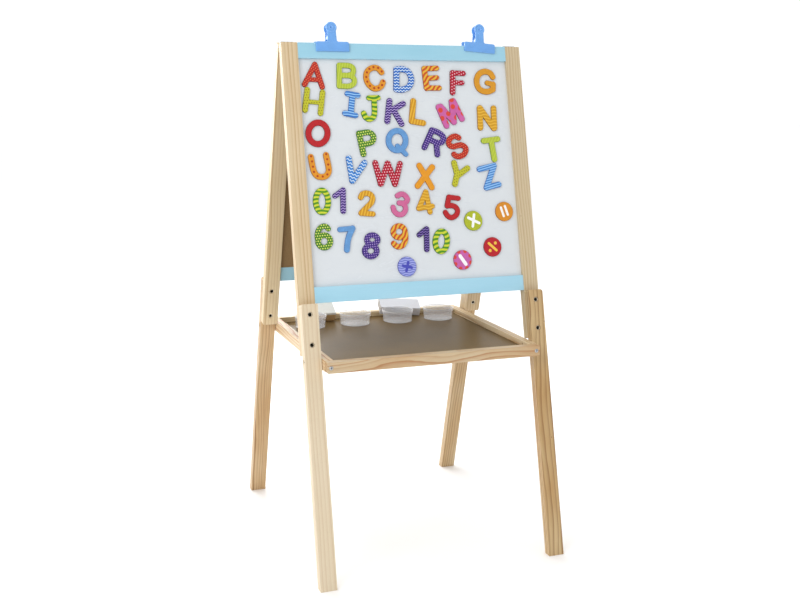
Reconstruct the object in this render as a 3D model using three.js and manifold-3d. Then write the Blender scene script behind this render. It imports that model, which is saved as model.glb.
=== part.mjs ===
// Folding children's easel: two hinged pine frames with sky-blue rails, a white board in front,
// a chalk board behind, four bolted lower legs, a tray between the legs, clips, cups and an eraser.
// Millimetres, +Z up, front towards -Y. Origin on the floor, midway between the four feet.
import * as THREE from 'three';
import { mergeVertices } from 'three/addons/utils/BufferGeometryUtils.js';
import Module from 'manifold-3d';

// ---------- driving dimensions ----------
const WIDTH = 550;            // over the outer faces of the stiles
const STOCK_W = 35;           // pine stock, wide side
const STOCK_T = 18;           // pine stock, thin side
const TILT = 13.5 * Math.PI / 180; // each frame leans this much
const AXIS_H = 1083;          // height of the top hinge axis
const TOP_DROP = 3.5;         // tops of the stiles, below the axis along the frame
const GAP = 0.3;              // between pieces that touch
const RAIL_H = 33;            // blue rails, height
const RAIL_T = 12;            // blue rails, thickness, flush with the outer faces
const LOW_RAIL_S = 513.5;     // top edge of the lower blue rail, from the axis
const STILE_END = 653;        // lower end of a stile, from the axis
const LEG_TOP = 547.5;        // upper end of a leg, from the axis
const BOARD_T = 4;            // board thickness
const BOARD_D = 7;            // inner face of the board, from the frame's inner face
const GROOVE = 5;             // how far the board sits in the frame
const EASE = 4;               // rounded end corners
const BOLT_S = [569, 631];    // leg bolts, from the axis
const BOLT_HEAD_R = 5.2, BOLT_R = 3.2;
const TRAY_BOLT_Z = 443;      // tray bolts above the floor
const TRAY_BOLT_D = 27;       // middle of a leg's thickness
const TRAY_TOP = 450, TRAY_H = 23, TRAY_STOCK = 18;
const TRAY_HALF_X = WIDTH / 2 - STOCK_W - 1;   // 1 mm clear of each leg
const TRAY_HALF_Y = 226;
const PANEL_TOP = 438, PANEL_T = 4, PANEL_IN = 4;
const CUP_R = 37.5, CUP_BASE_R = 34.5, CUP_H = 27, CUP_WALL = 1.4;
const CUPS = [[-161.5, 148], [-51.9, 146], [56, 145], [160.8, 143]];
const ERASER = { x: -110, y: 188.6, tilt: 32, w: 42, l: 38, wood: 20, felt: 6 };
const BOX = { w: 100, l: 38, h: 21, pos: [81.9, 201.2, 459.6], rot: [25, 4, -9] };
const HINGE_X = 257.5, HINGE_W = 28, KNUCKLE_R = 2.6, PIN_R = 1.3, LEAF_T = 1.2, LEAF_L = 26;
const CLIPS = [{ name: 'left', x: -164, drop: 22, turn: 0 }, { name: 'right', x: 178, drop: 18, turn: -4.5 }];
const CLIP = { w: 73, h: 21, t: 3, neck: 20, disc: 12, pivotD: 12, pivotH: 12, rise: 51.5 };

// ---------- colours ----------
const mat = (c, r = 0.6, m = 0) => new THREE.MeshStandardMaterial({ color: c, roughness: r, metalness: m });
const PINE = mat('#e2cda6', 0.55), PINE2 = mat('#d3b483', 0.55), BLUE = mat('#abd4e8', 0.4);
const WHITE = mat('#dfe4e6', 0.25), BLACK = mat('#2f3735', 0.85), BROWN = mat('#80694a', 0.75);
const STEEL = mat('#b4b6b8', 0.3, 0.9), ZINC = mat('#c9cbcd', 0.3, 0.9), CLIPBLUE = mat('#6ea5eb', 0.4);
const FROST = mat('#e6e6ec', 0.35), FELT = mat('#e6e6e2', 0.95), CARD = mat('#efeff4', 0.7), SPRING = mat('#9a9da0', 0.35, 0.9);

// ---------- solid helpers ----------
const wasm = await Module(); wasm.setup();
function toSolid(geo) {
  let g = geo.clone();
  for (const k of Object.keys(g.attributes)) if (k !== 'position') g.deleteAttribute(k);
  g = mergeVertices(g, 1e-4);
  return new wasm.Manifold(new wasm.Mesh({ numProp: 3,
    vertProperties: new Float32Array(g.attributes.position.array), triVerts: new Uint32Array(g.index.array) }));
}
function toGeo(solid) {
  const m = solid.getMesh(), g = new THREE.BufferGeometry();
  const p = new Float32Array(m.numVert * 3);
  for (let i = 0; i < m.numVert; i++) for (let k = 0; k < 3; k++) p[3 * i + k] = m.vertProperties[i * m.numProp + k];
  g.setAttribute('position', new THREE.BufferAttribute(p, 3));
  g.setIndex(new THREE.BufferAttribute(new Uint32Array(m.triVerts), 1));
  g.computeVertexNormals();
  return g;
}
const cut = (a, ...bs) => bs.reduce((s, b) => s.subtract(toSolid(b)), a);
const join = (a, ...bs) => bs.reduce((s, b) => s.add(toSolid(b)), a);
function boxGeo(x0, x1, y0, y1, z0, z1) {
  const g = new THREE.BoxGeometry(Math.abs(x1 - x0), Math.abs(y1 - y0), Math.abs(z1 - z0));
  g.translate((x0 + x1) / 2, (y0 + y1) / 2, (z0 + z1) / 2); return g;
}
function cyl(axis, r, a0, a1, c, n = 16) {       // c: the two other coordinates, in X, Y, Z order
  const g = new THREE.CylinderGeometry(r, r, Math.abs(a1 - a0), n), m = (a0 + a1) / 2;
  if (axis === 'x') { g.rotateZ(Math.PI / 2); g.translate(m, c[0], c[1]); }
  if (axis === 'y') g.translate(c[0], m, c[1]);
  if (axis === 'z') { g.rotateX(Math.PI / 2); g.translate(c[0], c[1], m); }
  return g;
}
// outline in X and Z, thickness from y0 to y1
function plateXZ(shape, y0, y1, seg = 4) {
  const lo = Math.min(y0, y1), hi = Math.max(y0, y1);
  const g = new THREE.ExtrudeGeometry(shape, { depth: hi - lo, bevelEnabled: false, curveSegments: seg });
  g.rotateX(Math.PI / 2); g.translate(0, hi, 0); return g;
}
// outline in Y and Z, length from x0 to x1
function prismX(pts, x0, x1) {
  const g = new THREE.ExtrudeGeometry(new THREE.Shape(pts.map(p => new THREE.Vector2(...p))), { depth: x1 - x0, bevelEnabled: false });
  g.applyMatrix4(new THREE.Matrix4().makeBasis(new THREE.Vector3(0, 1, 0), new THREE.Vector3(0, 0, 1), new THREE.Vector3(1, 0, 0)));
  g.translate(x0, 0, 0); return g;
}
// rectangle with chosen corner radii: [bottom-left, bottom-right, top-right, top-left]
function rect(x0, x1, z0, z1, r) {
  const s = new THREE.Shape(), [a, b, c, d] = r, H = Math.PI / 2;
  s.moveTo(x0 + a, z0); s.lineTo(x1 - b, z0); if (b) s.absarc(x1 - b, z0 + b, b, -H, 0);
  s.lineTo(x1, z1 - c); if (c) s.absarc(x1 - c, z1 - c, c, 0, H);
  s.lineTo(x0 + d, z1); if (d) s.absarc(x0 + d, z1 - d, d, H, 2 * H);
  s.lineTo(x0, z0 + a); if (a) s.absarc(x0 + a, z0 + a, a, 2 * H, 3 * H);
  return s;
}
function lathe(profile, n = 12) {
  return new THREE.LatheGeometry(profile.map(p => new THREE.Vector2(...p)), n);
}
const easel = new THREE.Group();
function add(parent, name, geo, material) {
  const m = new THREE.Mesh(geo, material); m.name = name; parent.add(m); return m;
}

// ---------- the two frames ----------
// In a frame's own group: X across, Z up the frame from the axis, and the outer face on the side of `o`.
const floorS = d => (AXIS_H + d * Math.sin(TILT)) / Math.cos(TILT);
const boltS = (AXIS_H - TRAY_BOLT_Z + TRAY_BOLT_D * Math.sin(TILT)) / Math.cos(TILT);
const TRAY_BOLT_Y = boltS * Math.sin(TILT) + TRAY_BOLT_D * Math.cos(TILT);

function connector(o, x, s) {     // recessed leg bolt with its sleeve nut, along Y
  const p = [[0, 1.6], [BOLT_HEAD_R, 1.6], [BOLT_HEAD_R, 3.7], [BOLT_R, 3.7], [BOLT_R, 31.4], [BOLT_HEAD_R, 31.4],
    [BOLT_HEAD_R, 34.4], [2.3, 34.4], [2.3, 32.2], [0, 32.2]];
  const g = lathe(p, 12);
  if (o < 0) g.rotateX(Math.PI);
  g.translate(x, 0, -s); return g;
}
function connectorHole(o, x, s) {
  return [cyl('y', BOLT_R + GAP, -o * 1, o * 37, [x, -s], 12), cyl('y', BOLT_HEAD_R + GAP, -o * 1, o * 4, [x, -s], 24),
    cyl('y', BOLT_HEAD_R + GAP, o * 31.1, o * 37, [x, -s], 24)];
}

function frame(o, side) {
  const g = new THREE.Group();
  g.position.set(0, 0, AXIS_H); g.rotation.x = o * TILT;
  const W2 = WIDTH / 2, inner = W2 - STOCK_W;
  for (const [k, tag] of [[-1, 'left'], [1, 'right']]) {
    const xa = k < 0 ? -W2 : inner, xb = k < 0 ? -inner : W2;
    // stile: full stock, grooved for the board, with a shallow seat for the hinge leaf
    let stile = toSolid(plateXZ(rect(xa, xb, -STILE_END, -TOP_DROP, [EASE, EASE, 1.5, 1.5]), 0, o * STOCK_T));
    const holes = BOLT_S.flatMap(s => connectorHole(o, k * HINGE_X, s));
    stile = cut(stile, ...holes,
      boxGeo(k * (inner - 1), k * (inner + GROOVE + GAP), o * (BOARD_D - GAP), o * (BOARD_D + BOARD_T + GAP), -(TOP_DROP + RAIL_H - GROOVE - GAP), -(LOW_RAIL_S + GROOVE + GAP)),
      boxGeo(k * (HINGE_X - HINGE_W / 2 - GAP), k * (HINGE_X + HINGE_W / 2 + GAP), -o * 1, o * (LEAF_T + 0.5), -(TOP_DROP - 1), -(LEAF_L + GAP)));
    add(g, `${side}_stile_${tag}`, toGeo(stile), PINE);
    // leg: bolted on the outer face of the stile, sole cut level with the floor
    const D0 = STOCK_T + GAP, D1 = 2 * STOCK_T + GAP;
    const worn = o < 0 && k > 0 ? 6 : EASE;      // the front right leg has a softer outer top corner
    let leg = toSolid(plateXZ(rect(xa, xb, -floorS(D1) - 30, -LEG_TOP, [0, 0, worn, EASE]), o * D0, o * D1));
    const sole = prismX(o > 0 ? [[D0 - 5, -floorS(D0 - 5)], [D0 - 5, -1300], [D1 + 5, -1300], [D1 + 5, -floorS(D1 + 5)]]
      : [[-D0 + 5, -floorS(D0 - 5)], [-D1 - 5, -floorS(D1 + 5)], [-D1 - 5, -1300], [-D0 + 5, -1300]], -300, 300);
    const trayHole = [cyl('x', 3.3, k * 236, k * 280, [o * TRAY_BOLT_D, -boltS], 14), cyl('x', 5.0, k * 269.9, k * 280, [o * TRAY_BOLT_D, -boltS], 24)];
    leg = cut(leg, sole, ...holes, ...trayHole);
    add(g, `${side}_leg_${tag}`, toGeo(leg), o < 0 ? PINE : PINE2);
    for (const [i, s] of BOLT_S.entries()) add(g, `${side}_leg_bolt_${tag}_${i ? 'lower' : 'upper'}`, connector(o, k * HINGE_X, s), STEEL);
    // tray bolt: head sunk in the leg's outer side; the front pair runs on into the tray as its pivot
    const end = o < 0 ? 222.5 : inner + 0.4;
    const tb = lathe([[0, end], [3.0, end], [3.0, 270.2], [4.7, 270.2], [4.7, 273.4], [2, 273.4], [2, 271.2], [0, 271.2]], 14);
    tb.rotateZ(-Math.PI / 2); if (k < 0) tb.rotateY(Math.PI);
    tb.translate(0, o * TRAY_BOLT_D, -boltS);
    add(g, `${side}_tray_bolt_${tag}`, tb, STEEL);
  }
  // blue rails, grooved for the board
  const railY = [o * (STOCK_T - RAIL_T), o * STOCK_T], hx = inner - GAP;
  const top = cut(toSolid(boxGeo(-hx, hx, ...railY, -(TOP_DROP + RAIL_H), -TOP_DROP)),
    boxGeo(-hx - 1, hx + 1, o * (BOARD_D - GAP), o * (BOARD_D + BOARD_T + GAP), -(TOP_DROP + RAIL_H + 1), -(TOP_DROP + RAIL_H - GROOVE - GAP)));
  add(g, `${side}_top_rail`, toGeo(top), BLUE);
  const low = cut(toSolid(boxGeo(-hx, hx, ...railY, -(LOW_RAIL_S + RAIL_H), -LOW_RAIL_S)),
    boxGeo(-hx - 1, hx + 1, o * (BOARD_D - GAP), o * (BOARD_D + BOARD_T + GAP), -(LOW_RAIL_S + GROOVE + GAP), -(LOW_RAIL_S - 1)));
  add(g, `${side}_lower_rail`, toGeo(low), BLUE);
  add(g, o < 0 ? 'whiteboard_panel' : 'chalkboard_panel',
    boxGeo(-(inner + GROOVE), inner + GROOVE, o * BOARD_D, o * (BOARD_D + BOARD_T), -(LOW_RAIL_S + GROOVE), -(TOP_DROP + RAIL_H - GROOVE)), o < 0 ? WHITE : BLACK);
  // hinge leaves: the front one carries the two outer knuckles, the rear one the middle knuckle
  for (const [k, tag] of [[-1, 'left'], [1, 'right']]) {
    const x0 = k * HINGE_X - HINGE_W / 2, x1 = x0 + HINGE_W, third = HINGE_W / 3;
    const spans = o < 0 ? [[x0, x0 + third - 0.2], [x1 - third + 0.2, x1]] : [[x0 + third + 0.2, x1 - third - 0.2]];
    let leaf = toSolid(boxGeo(x0, x1, o * 0.25, o * (0.25 + LEAF_T), -LEAF_L, -3.1));
    for (const [a, b] of spans) leaf = join(leaf, boxGeo(a, b, o * 0.25, o * (0.25 + LEAF_T), -4, 0), cyl('x', KNUCKLE_R, a, b, [0, 0], 14));
    leaf = cut(leaf, cyl('x', PIN_R + 0.25, x0 - 1, x1 + 1, [0, 0], 12));
    add(g, `${side}_hinge_leaf_${tag}`, toGeo(leaf), STEEL);
    if (o < 0) add(g, `hinge_pin_${tag}`, cyl('x', PIN_R, x0 - 0.4, x1 + 0.4, [0, 0], 12), STEEL);
  }
  easel.add(g);
  return g;
}
const front = frame(-1, 'front');
frame(1, 'rear');

// ---------- spring clips on the front top rail ----------
// Each clip's group: origin on the middle of its pivot, X across, -Y outward, Z up the frame.
function clipHalf(o, inset) {
  // o -1: outer jaw in front of the rail, o +1: inner jaw behind it
  const face = o < 0 ? -(STOCK_T - CLIP.pivotD) - 0.4 : (CLIP.pivotD - (STOCK_T - RAIL_T)) + 0.4;
  const out = face + o * CLIP.t, zb = -CLIP.bottom, zt = -CLIP.bottom + CLIP.h, hw = CLIP.w / 2;
  const jaw = plateXZ(rect(-hw, hw, zb, zt, [1, 1, 5, 5]), face, out);
  // handle: a neck that closes slightly towards the other half and ends in a round finger disc
  const zc = zb + CLIP.rise, lean = -o * 0.5;
  const neck = prismX(o < 0
    ? [[face, zb + 10], [face, zt], [face + lean, zc], [out + lean, zc], [out, zt], [out, zb + 10]]
    : [[face, zb + 10], [out, zb + 10], [out, zt], [out + lean, zc], [face + lean, zc], [face, zt]], -CLIP.neck / 2, CLIP.neck / 2);
  const disc = cyl('y', CLIP.disc, face + lean * 1.15, out + lean * 0.9, [0, zc], 18);
  let h = join(toSolid(jaw), neck, disc);
  h = cut(h, cyl('y', 2.6, out + lean * 0.9 - o * 1.2, out + lean * 0.9 + o * 2, [0, zc], 12));
  // lugs to the pivot
  const lx = [[-inset - 2, -inset], [inset, inset + 2]];
  for (const [a, b] of lx) h = join(h, boxGeo(a, b, 0, face + o * 2.6, -3, 3), cyl('x', 3, a, b, [0, 0], 12));
  return toGeo(cut(h, cyl('x', 1.5, -20, 20, [0, 0], 12)));
}
for (const c of CLIPS) {
  CLIP.bottom = c.drop + CLIP.pivotH - TOP_DROP;
  const g = new THREE.Group();
  g.position.set(c.x, -CLIP.pivotD, CLIP.pivotH - TOP_DROP); g.rotation.y = -c.turn * Math.PI / 180;
  front.add(g);
  add(g, `clip_${c.name}_front_jaw`, clipHalf(-1, 7.3), CLIPBLUE);
  add(g, `clip_${c.name}_rear_jaw`, clipHalf(1, 4.9), CLIPBLUE);
  add(g, `clip_${c.name}_pin`, cyl('x', 1.2, -9.8, 9.8, [0, 0], 12), STEEL);
  // spring: a close-wound sleeve on the pin
  const sp = lathe([[1.6, -4.5], [2.9, -4.5], [2.9, 4.5], [1.6, 4.5], [1.6, -4.5]], 14); sp.rotateZ(Math.PI / 2);
  add(g, `clip_${c.name}_spring`, sp, SPRING);
}

// ---------- tray between the legs ----------
const tray = new THREE.Group(); easel.add(tray);
const TZ0 = TRAY_TOP - TRAY_H, TX = TRAY_HALF_X, TY = TRAY_HALF_Y, TI = TX - TRAY_STOCK, TYI = TY - TRAY_STOCK;
const panelSlot = (x0, x1, y0, y1) => boxGeo(x0, x1, y0, y1, PANEL_TOP - PANEL_T - GAP, PANEL_TOP + GAP);
for (const [o, tag] of [[-1, 'front'], [1, 'rear']]) {
  const r = toSolid(plateXZ(rect(-TX, TX, TZ0, TRAY_TOP, [3, 3, 3, 3]), o * TYI, o * TY));
  const screwHoles = [-1, 1].flatMap(k => [cyl('y', 2.1, o * (TYI - 1), o * (TY + 1), [k * 231, 438.5], 12), cyl('y', 4.5, o * (TY - 1.5), o * (TY + 1), [k * 231, 438.5], 12)]);
  add(tray, `tray_${tag}_rail`, toGeo(cut(r, ...screwHoles,
    panelSlot(-(TI + PANEL_IN + GAP), TI + PANEL_IN + GAP, o * (TYI - 1), o * (TYI + PANEL_IN + GAP)))), PINE);
  for (const [k, side] of [[-1, 'left'], [1, 'right']]) {
    const s = lathe([[0, -36], [1.8, -33], [1.8, -1.2], [4.2, -1.2], [4.2, 0.2], [3.2, 0.9], [0, 1.1]], 12);
    if (o < 0) s.rotateX(Math.PI);
    s.translate(k * 231, o * TY, 438.5);
    add(tray, `tray_screw_${tag}_${side}`, s, ZINC);
  }
}
for (const [k, tag] of [[-1, 'left'], [1, 'right']]) {
  const x0 = k * TI, x1 = k * TX, yy = TYI - GAP;
  const r = toSolid(boxGeo(x0, x1, -yy, yy, TZ0, TRAY_TOP));
  add(tray, `tray_side_rail_${tag}`, toGeo(cut(r,
    panelSlot(k * (TI - 1), k * (TI + PANEL_IN + GAP), -yy - 1, yy + 1),
    cyl('x', 3.3, k * (TI - 1), k * (TX + 1), [-TRAY_BOLT_Y, TRAY_BOLT_Z], 14),
    cyl('x', 3.3, k * (TI - 1), k * (TX + 1), [TRAY_BOLT_Y, TRAY_BOLT_Z], 14),
    ...[-1, 1].map(o => cyl('y', 2.1, o * (yy + 1), o * (TY - 37), [k * 231, 438.5], 12)))), PINE);
  const nut = cyl('x', 3.0, k * (TI + 1.5), k * (TX - 0.2), [TRAY_BOLT_Y, TRAY_BOLT_Z], 14);
  add(tray, `tray_sleeve_nut_${tag}`, nut, STEEL);
}
add(tray, 'tray_panel', boxGeo(-(TI + PANEL_IN), TI + PANEL_IN, -(TYI + PANEL_IN), TYI + PANEL_IN, PANEL_TOP - PANEL_T, PANEL_TOP), BROWN);

// ---------- cups, eraser and box on the tray ----------
CUPS.forEach(([x, y], i) => {
  const t = CUP_WALL, z0 = PANEL_TOP + GAP, band = CUP_H - 7.5;
  const g = lathe([[0, 0], [CUP_BASE_R, 0], [CUP_R - 1.6, band], [CUP_R, band + 0.8], [CUP_R, CUP_H], [CUP_R - t, CUP_H],
    [CUP_R - t, band + 1], [CUP_R - 1.6 - t, band], [CUP_BASE_R - t, t], [0, t]], 24);
  g.rotateX(Math.PI / 2); g.translate(x, y, z0);
  add(tray, `cup_${i + 1}`, g, FROST);
});
{
  const e = ERASER, g = new THREE.Group();
  g.position.set(e.x, e.y, PANEL_TOP + GAP); g.rotation.x = e.tilt * Math.PI / 180; tray.add(g);
  add(g, 'eraser_block', boxGeo(-e.w / 2, e.w / 2, 0, e.l, 0, e.wood), PINE);
  add(g, 'eraser_felt', boxGeo(-e.w / 2, e.w / 2, 0, e.l, e.wood + GAP, e.wood + e.felt), FELT);
}
{
  const b = BOX, g = new THREE.Group();
  g.position.set(...b.pos); g.rotation.set(...b.rot.map(v => v * Math.PI / 180), 'ZYX'); tray.add(g);
  add(g, 'chalk_box', boxGeo(-b.w / 2, b.w / 2, -b.l / 2, b.l / 2, -b.h / 2, b.h / 2), CARD);
}

export default easel;
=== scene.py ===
# Folding children's easel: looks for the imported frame. Blender 4.5.
import math
import bpy
import numpy as np
from mathutils import Matrix, Vector, Euler


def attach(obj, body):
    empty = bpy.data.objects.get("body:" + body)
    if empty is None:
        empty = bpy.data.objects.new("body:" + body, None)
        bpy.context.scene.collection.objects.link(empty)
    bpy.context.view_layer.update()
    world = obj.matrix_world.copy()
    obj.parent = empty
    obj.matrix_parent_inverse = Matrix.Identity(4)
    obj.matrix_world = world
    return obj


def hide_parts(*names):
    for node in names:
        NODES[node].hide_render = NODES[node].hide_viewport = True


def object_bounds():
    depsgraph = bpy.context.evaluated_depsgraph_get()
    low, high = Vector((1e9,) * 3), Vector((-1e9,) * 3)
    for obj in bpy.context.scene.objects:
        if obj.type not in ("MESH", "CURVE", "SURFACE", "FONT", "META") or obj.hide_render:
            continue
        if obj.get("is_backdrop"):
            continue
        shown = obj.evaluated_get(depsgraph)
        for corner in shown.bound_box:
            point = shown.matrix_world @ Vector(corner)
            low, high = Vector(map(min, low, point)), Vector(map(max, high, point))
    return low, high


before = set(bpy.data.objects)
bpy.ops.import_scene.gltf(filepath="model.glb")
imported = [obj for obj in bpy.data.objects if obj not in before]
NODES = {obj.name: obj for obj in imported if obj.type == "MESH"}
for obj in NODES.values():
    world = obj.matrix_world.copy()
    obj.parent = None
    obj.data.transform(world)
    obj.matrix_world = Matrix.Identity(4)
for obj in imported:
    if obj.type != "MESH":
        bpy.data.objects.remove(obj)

CAD_LO, CAD_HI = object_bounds()
CAD_LO, CAD_HI = CAD_LO.copy(), CAD_HI.copy()

TH = math.radians(13.5)          # lean of each frame
AXIS = 1.083                     # height of the hinge axis, m
ST, CT = math.sin(TH), math.cos(TH)


def FR(sg, x, s, d):
    """Frame coordinates in mm to the row frame in metres. s runs down the frame, d outward from its inner face."""
    return Vector((x, sg * (s * ST + d * CT), AXIS * 1000 - s * CT + d * ST)) / 1000


def lin(c):
    """sRGB 0-255 to linear RGBA."""
    out = []
    for v in c:
        v = v / 255.0
        out.append(v / 12.92 if v <= 0.04045 else ((v + 0.055) / 1.055) ** 2.4)
    return (out[0], out[1], out[2], 1.0)


def mul(c, k):
    return (min(c[0] * k, 1), min(c[1] * k, 1), min(c[2] * k, 1), 1.0)


# Colour trims per material, linear factors: partly each piece's own wood or paint tone, partly painted light and shade,
# e.g. the tray rear rail brightened for light reaching it from the front, the tray front rail darkened and the rear
# left stile brightened to how the light falls on them.
TONE_AND_LIGHT_TRIM = {
    "pine_tray_front": (0.76, 0.71, 0.62), "pine_leg_fr": (0.86, 0.80, 0.68), "pine_leg_rl": (0.93, 0.88, 0.84),
    "pine_stile_rl": (1.06, 1.11, 1.18), "pine_stile_fr": (0.85, 0.87, 0.90), "pine_leg_fl": (0.90, 0.89, 0.90),
    "pine_tray_left": (0.95, 0.93, 0.86), "pine_tray_rear": (1.28, 1.34, 1.40), "pine_stile_fl": (0.97, 0.98, 1.02),
    "paint_front_low": (1.06, 1.04, 1.05), "pine_leg_rr": (0.96, 0.97, 0.98),
}


def trim(name, c):
    t = TONE_AND_LIGHT_TRIM.get(name, (1, 1, 1))
    return (min(c[0] * t[0], 1), min(c[1] * t[1], 1), min(c[2] * t[2], 1), 1.0)


# ------------------------------------------------------------------ camera
F_PX, PPX, PPY = 1075.972, 371.27, 262.55
W, Hh = 800, 599
rv = Vector((0.16544, -0.02057, 0.34911))
Rm = Matrix(((1, 0, 0), (0, 0, -1), (0, 1, 0))) @ Matrix.Rotation(rv.length, 3, rv.normalized())
cam_data = bpy.data.cameras.new("camera")
cam = bpy.data.objects.new("camera", cam_data)
bpy.context.scene.collection.objects.link(cam)
right, up, back = Vector(Rm[0]), -Vector(Rm[1]), -Vector(Rm[2])
m = Matrix.Identity(4)
for i in range(3):
    m[i][0], m[i][1], m[i][2] = right[i], up[i], back[i]
m.translation = Vector((-1.58942, -4.02082, 1.82229)) * 0.55
cam.matrix_world = m
cam_data.sensor_width = 36.0
cam_data.lens = F_PX / W * 36.0
cam_data.shift_x = (W / 2 - PPX) / W
cam_data.shift_y = (PPY - Hh / 2) / W
cam_data.clip_end = 100
cam_data.dof.use_dof = False
bpy.context.scene.camera = cam
bpy.context.scene.view_settings.view_transform = "Standard"


# ------------------------------------------------------------------ node helper
class Mat:
    def __init__(self, name, **base):
        self.m = bpy.data.materials.new(name)
        self.m.use_nodes = True
        self.t = self.m.node_tree
        for n in list(self.t.nodes):
            self.t.nodes.remove(n)
        self.o = self.t.nodes.new("ShaderNodeOutputMaterial")
        self.b = self.t.nodes.new("ShaderNodeBsdfPrincipled")
        self.t.links.new(self.b.outputs[0], self.o.inputs[0])
        for k, v in base.items():
            self.b.inputs[k.replace("_", " ")].default_value = v
        self.tc = None

    def put(self, sock, v):
        if isinstance(v, bpy.types.NodeSocket):
            self.t.links.new(v, sock)
        elif v is not None:
            sock.default_value = v

    def new(self, kind, **kw):
        n = self.t.nodes.new(kind)
        for k, v in kw.items():
            setattr(n, k, v)
        return n

    def coord(self, which="Object"):
        if self.tc is None:
            self.tc = self.new("ShaderNodeTexCoord")
        return self.tc.outputs[which]

    def map(self, vec, loc=(0, 0, 0), rot=(0, 0, 0), scale=(1, 1, 1)):
        n = self.new("ShaderNodeMapping", vector_type="POINT")
        self.put(n.inputs["Vector"], vec)
        n.inputs["Location"].default_value = loc
        n.inputs["Rotation"].default_value = rot
        n.inputs["Scale"].default_value = scale
        return n.outputs[0]

    def math(self, op, a, b=None, c=None, clamp=False):
        n = self.new("ShaderNodeMath", operation=op, use_clamp=clamp)
        for i, v in enumerate((a, b, c)):
            if v is not None:
                self.put(n.inputs[i], v)
        return n.outputs[0]

    def vmath(self, op, a, b=None):
        n = self.new("ShaderNodeVectorMath", operation=op)
        self.put(n.inputs[0], a)
        if b is not None:
            self.put(n.inputs[1], b)
        return n.outputs["Value"] if op in ("LENGTH", "DISTANCE", "DOT_PRODUCT") else n.outputs[0]

    def sep(self, v):
        n = self.new("ShaderNodeSeparateXYZ")
        self.put(n.inputs[0], v)
        return n.outputs[0], n.outputs[1], n.outputs[2]

    def comb(self, x, y, z):
        n = self.new("ShaderNodeCombineXYZ")
        for i, v in enumerate((x, y, z)):
            self.put(n.inputs[i], v)
        return n.outputs[0]

    def noise(self, vec, scale=1.0, detail=2.0, rough=0.5, dist=0.0):
        n = self.new("ShaderNodeTexNoise")
        self.put(n.inputs["Vector"], vec)
        n.inputs["Scale"].default_value = scale
        n.inputs["Detail"].default_value = detail
        n.inputs["Roughness"].default_value = rough
        n.inputs["Distortion"].default_value = dist
        return n.outputs[0]

    def ramp(self, fac, stops, interp="LINEAR"):
        n = self.new("ShaderNodeValToRGB")
        n.color_ramp.interpolation = interp
        el = n.color_ramp.elements
        while len(el) > 1:
            el.remove(el[-1])
        el[0].position, el[0].color = stops[0]
        for p, c in stops[1:]:
            e = el.new(p)
            e.color = c
        self.put(n.inputs[0], fac)
        return n.outputs[0]

    def fit(self, v, a, b, c=0.0, d=1.0, smooth=False):
        n = self.new("ShaderNodeMapRange", clamp=True)
        if smooth:
            n.interpolation_type = "SMOOTHSTEP"
        self.put(n.inputs[0], v)
        for i, x in enumerate((a, b, c, d)):
            n.inputs[i + 1].default_value = x
        return n.outputs[0]

    def mix(self, fac, a, b, mode="MIX"):
        n = self.new("ShaderNodeMix", data_type="RGBA", blend_type=mode)
        n.clamp_factor = True
        self.put(n.inputs[0], fac)
        self.put(n.inputs[6], a)
        self.put(n.inputs[7], b)
        return n.outputs[2]

    def bump(self, height, strength=0.2, distance=0.0003, prev=None):
        n = self.new("ShaderNodeBump")
        n.inputs["Strength"].default_value = strength
        n.inputs["Distance"].default_value = distance
        self.put(n.inputs["Height"], height)
        if prev is not None:
            self.t.links.new(prev, n.inputs["Normal"])
        return n.outputs[0]

    def set(self, name, v):
        self.put(self.b.inputs[name], v)
        return self


def local_mm(M, where):
    """Object coordinates as millimetres in a frame's own axes, measured from the hinge axis ('front', 'rear') or from the row origin."""
    if where == "front":
        R = Matrix.Rotation(TH, 3, "X")
        return M.map(M.coord(), loc=tuple(-(R @ Vector((0, 0, AXIS))) * 1000), rot=(TH, 0, 0), scale=(1000, 1000, 1000))
    if where == "rear":
        R = Matrix.Rotation(-TH, 3, "X")
        return M.map(M.coord(), loc=tuple(-(R @ Vector((0, 0, AXIS))) * 1000), rot=(-TH, 0, 0), scale=(1000, 1000, 1000))
    if isinstance(where, Matrix):          # world to local, in metres
        e = where.to_3x3().normalized().to_euler("XYZ")
        return M.map(M.coord(), loc=tuple(where.translation * 1000), rot=tuple(e), scale=(1000, 1000, 1000))
    return M.map(M.coord(), scale=(1000, 1000, 1000))


# ------------------------------------------------------------------ wood
EARLY, LATE, WARM, PALE = (231, 207, 166), (205, 165, 108), (222, 186, 132), (238, 222, 192)


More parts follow.
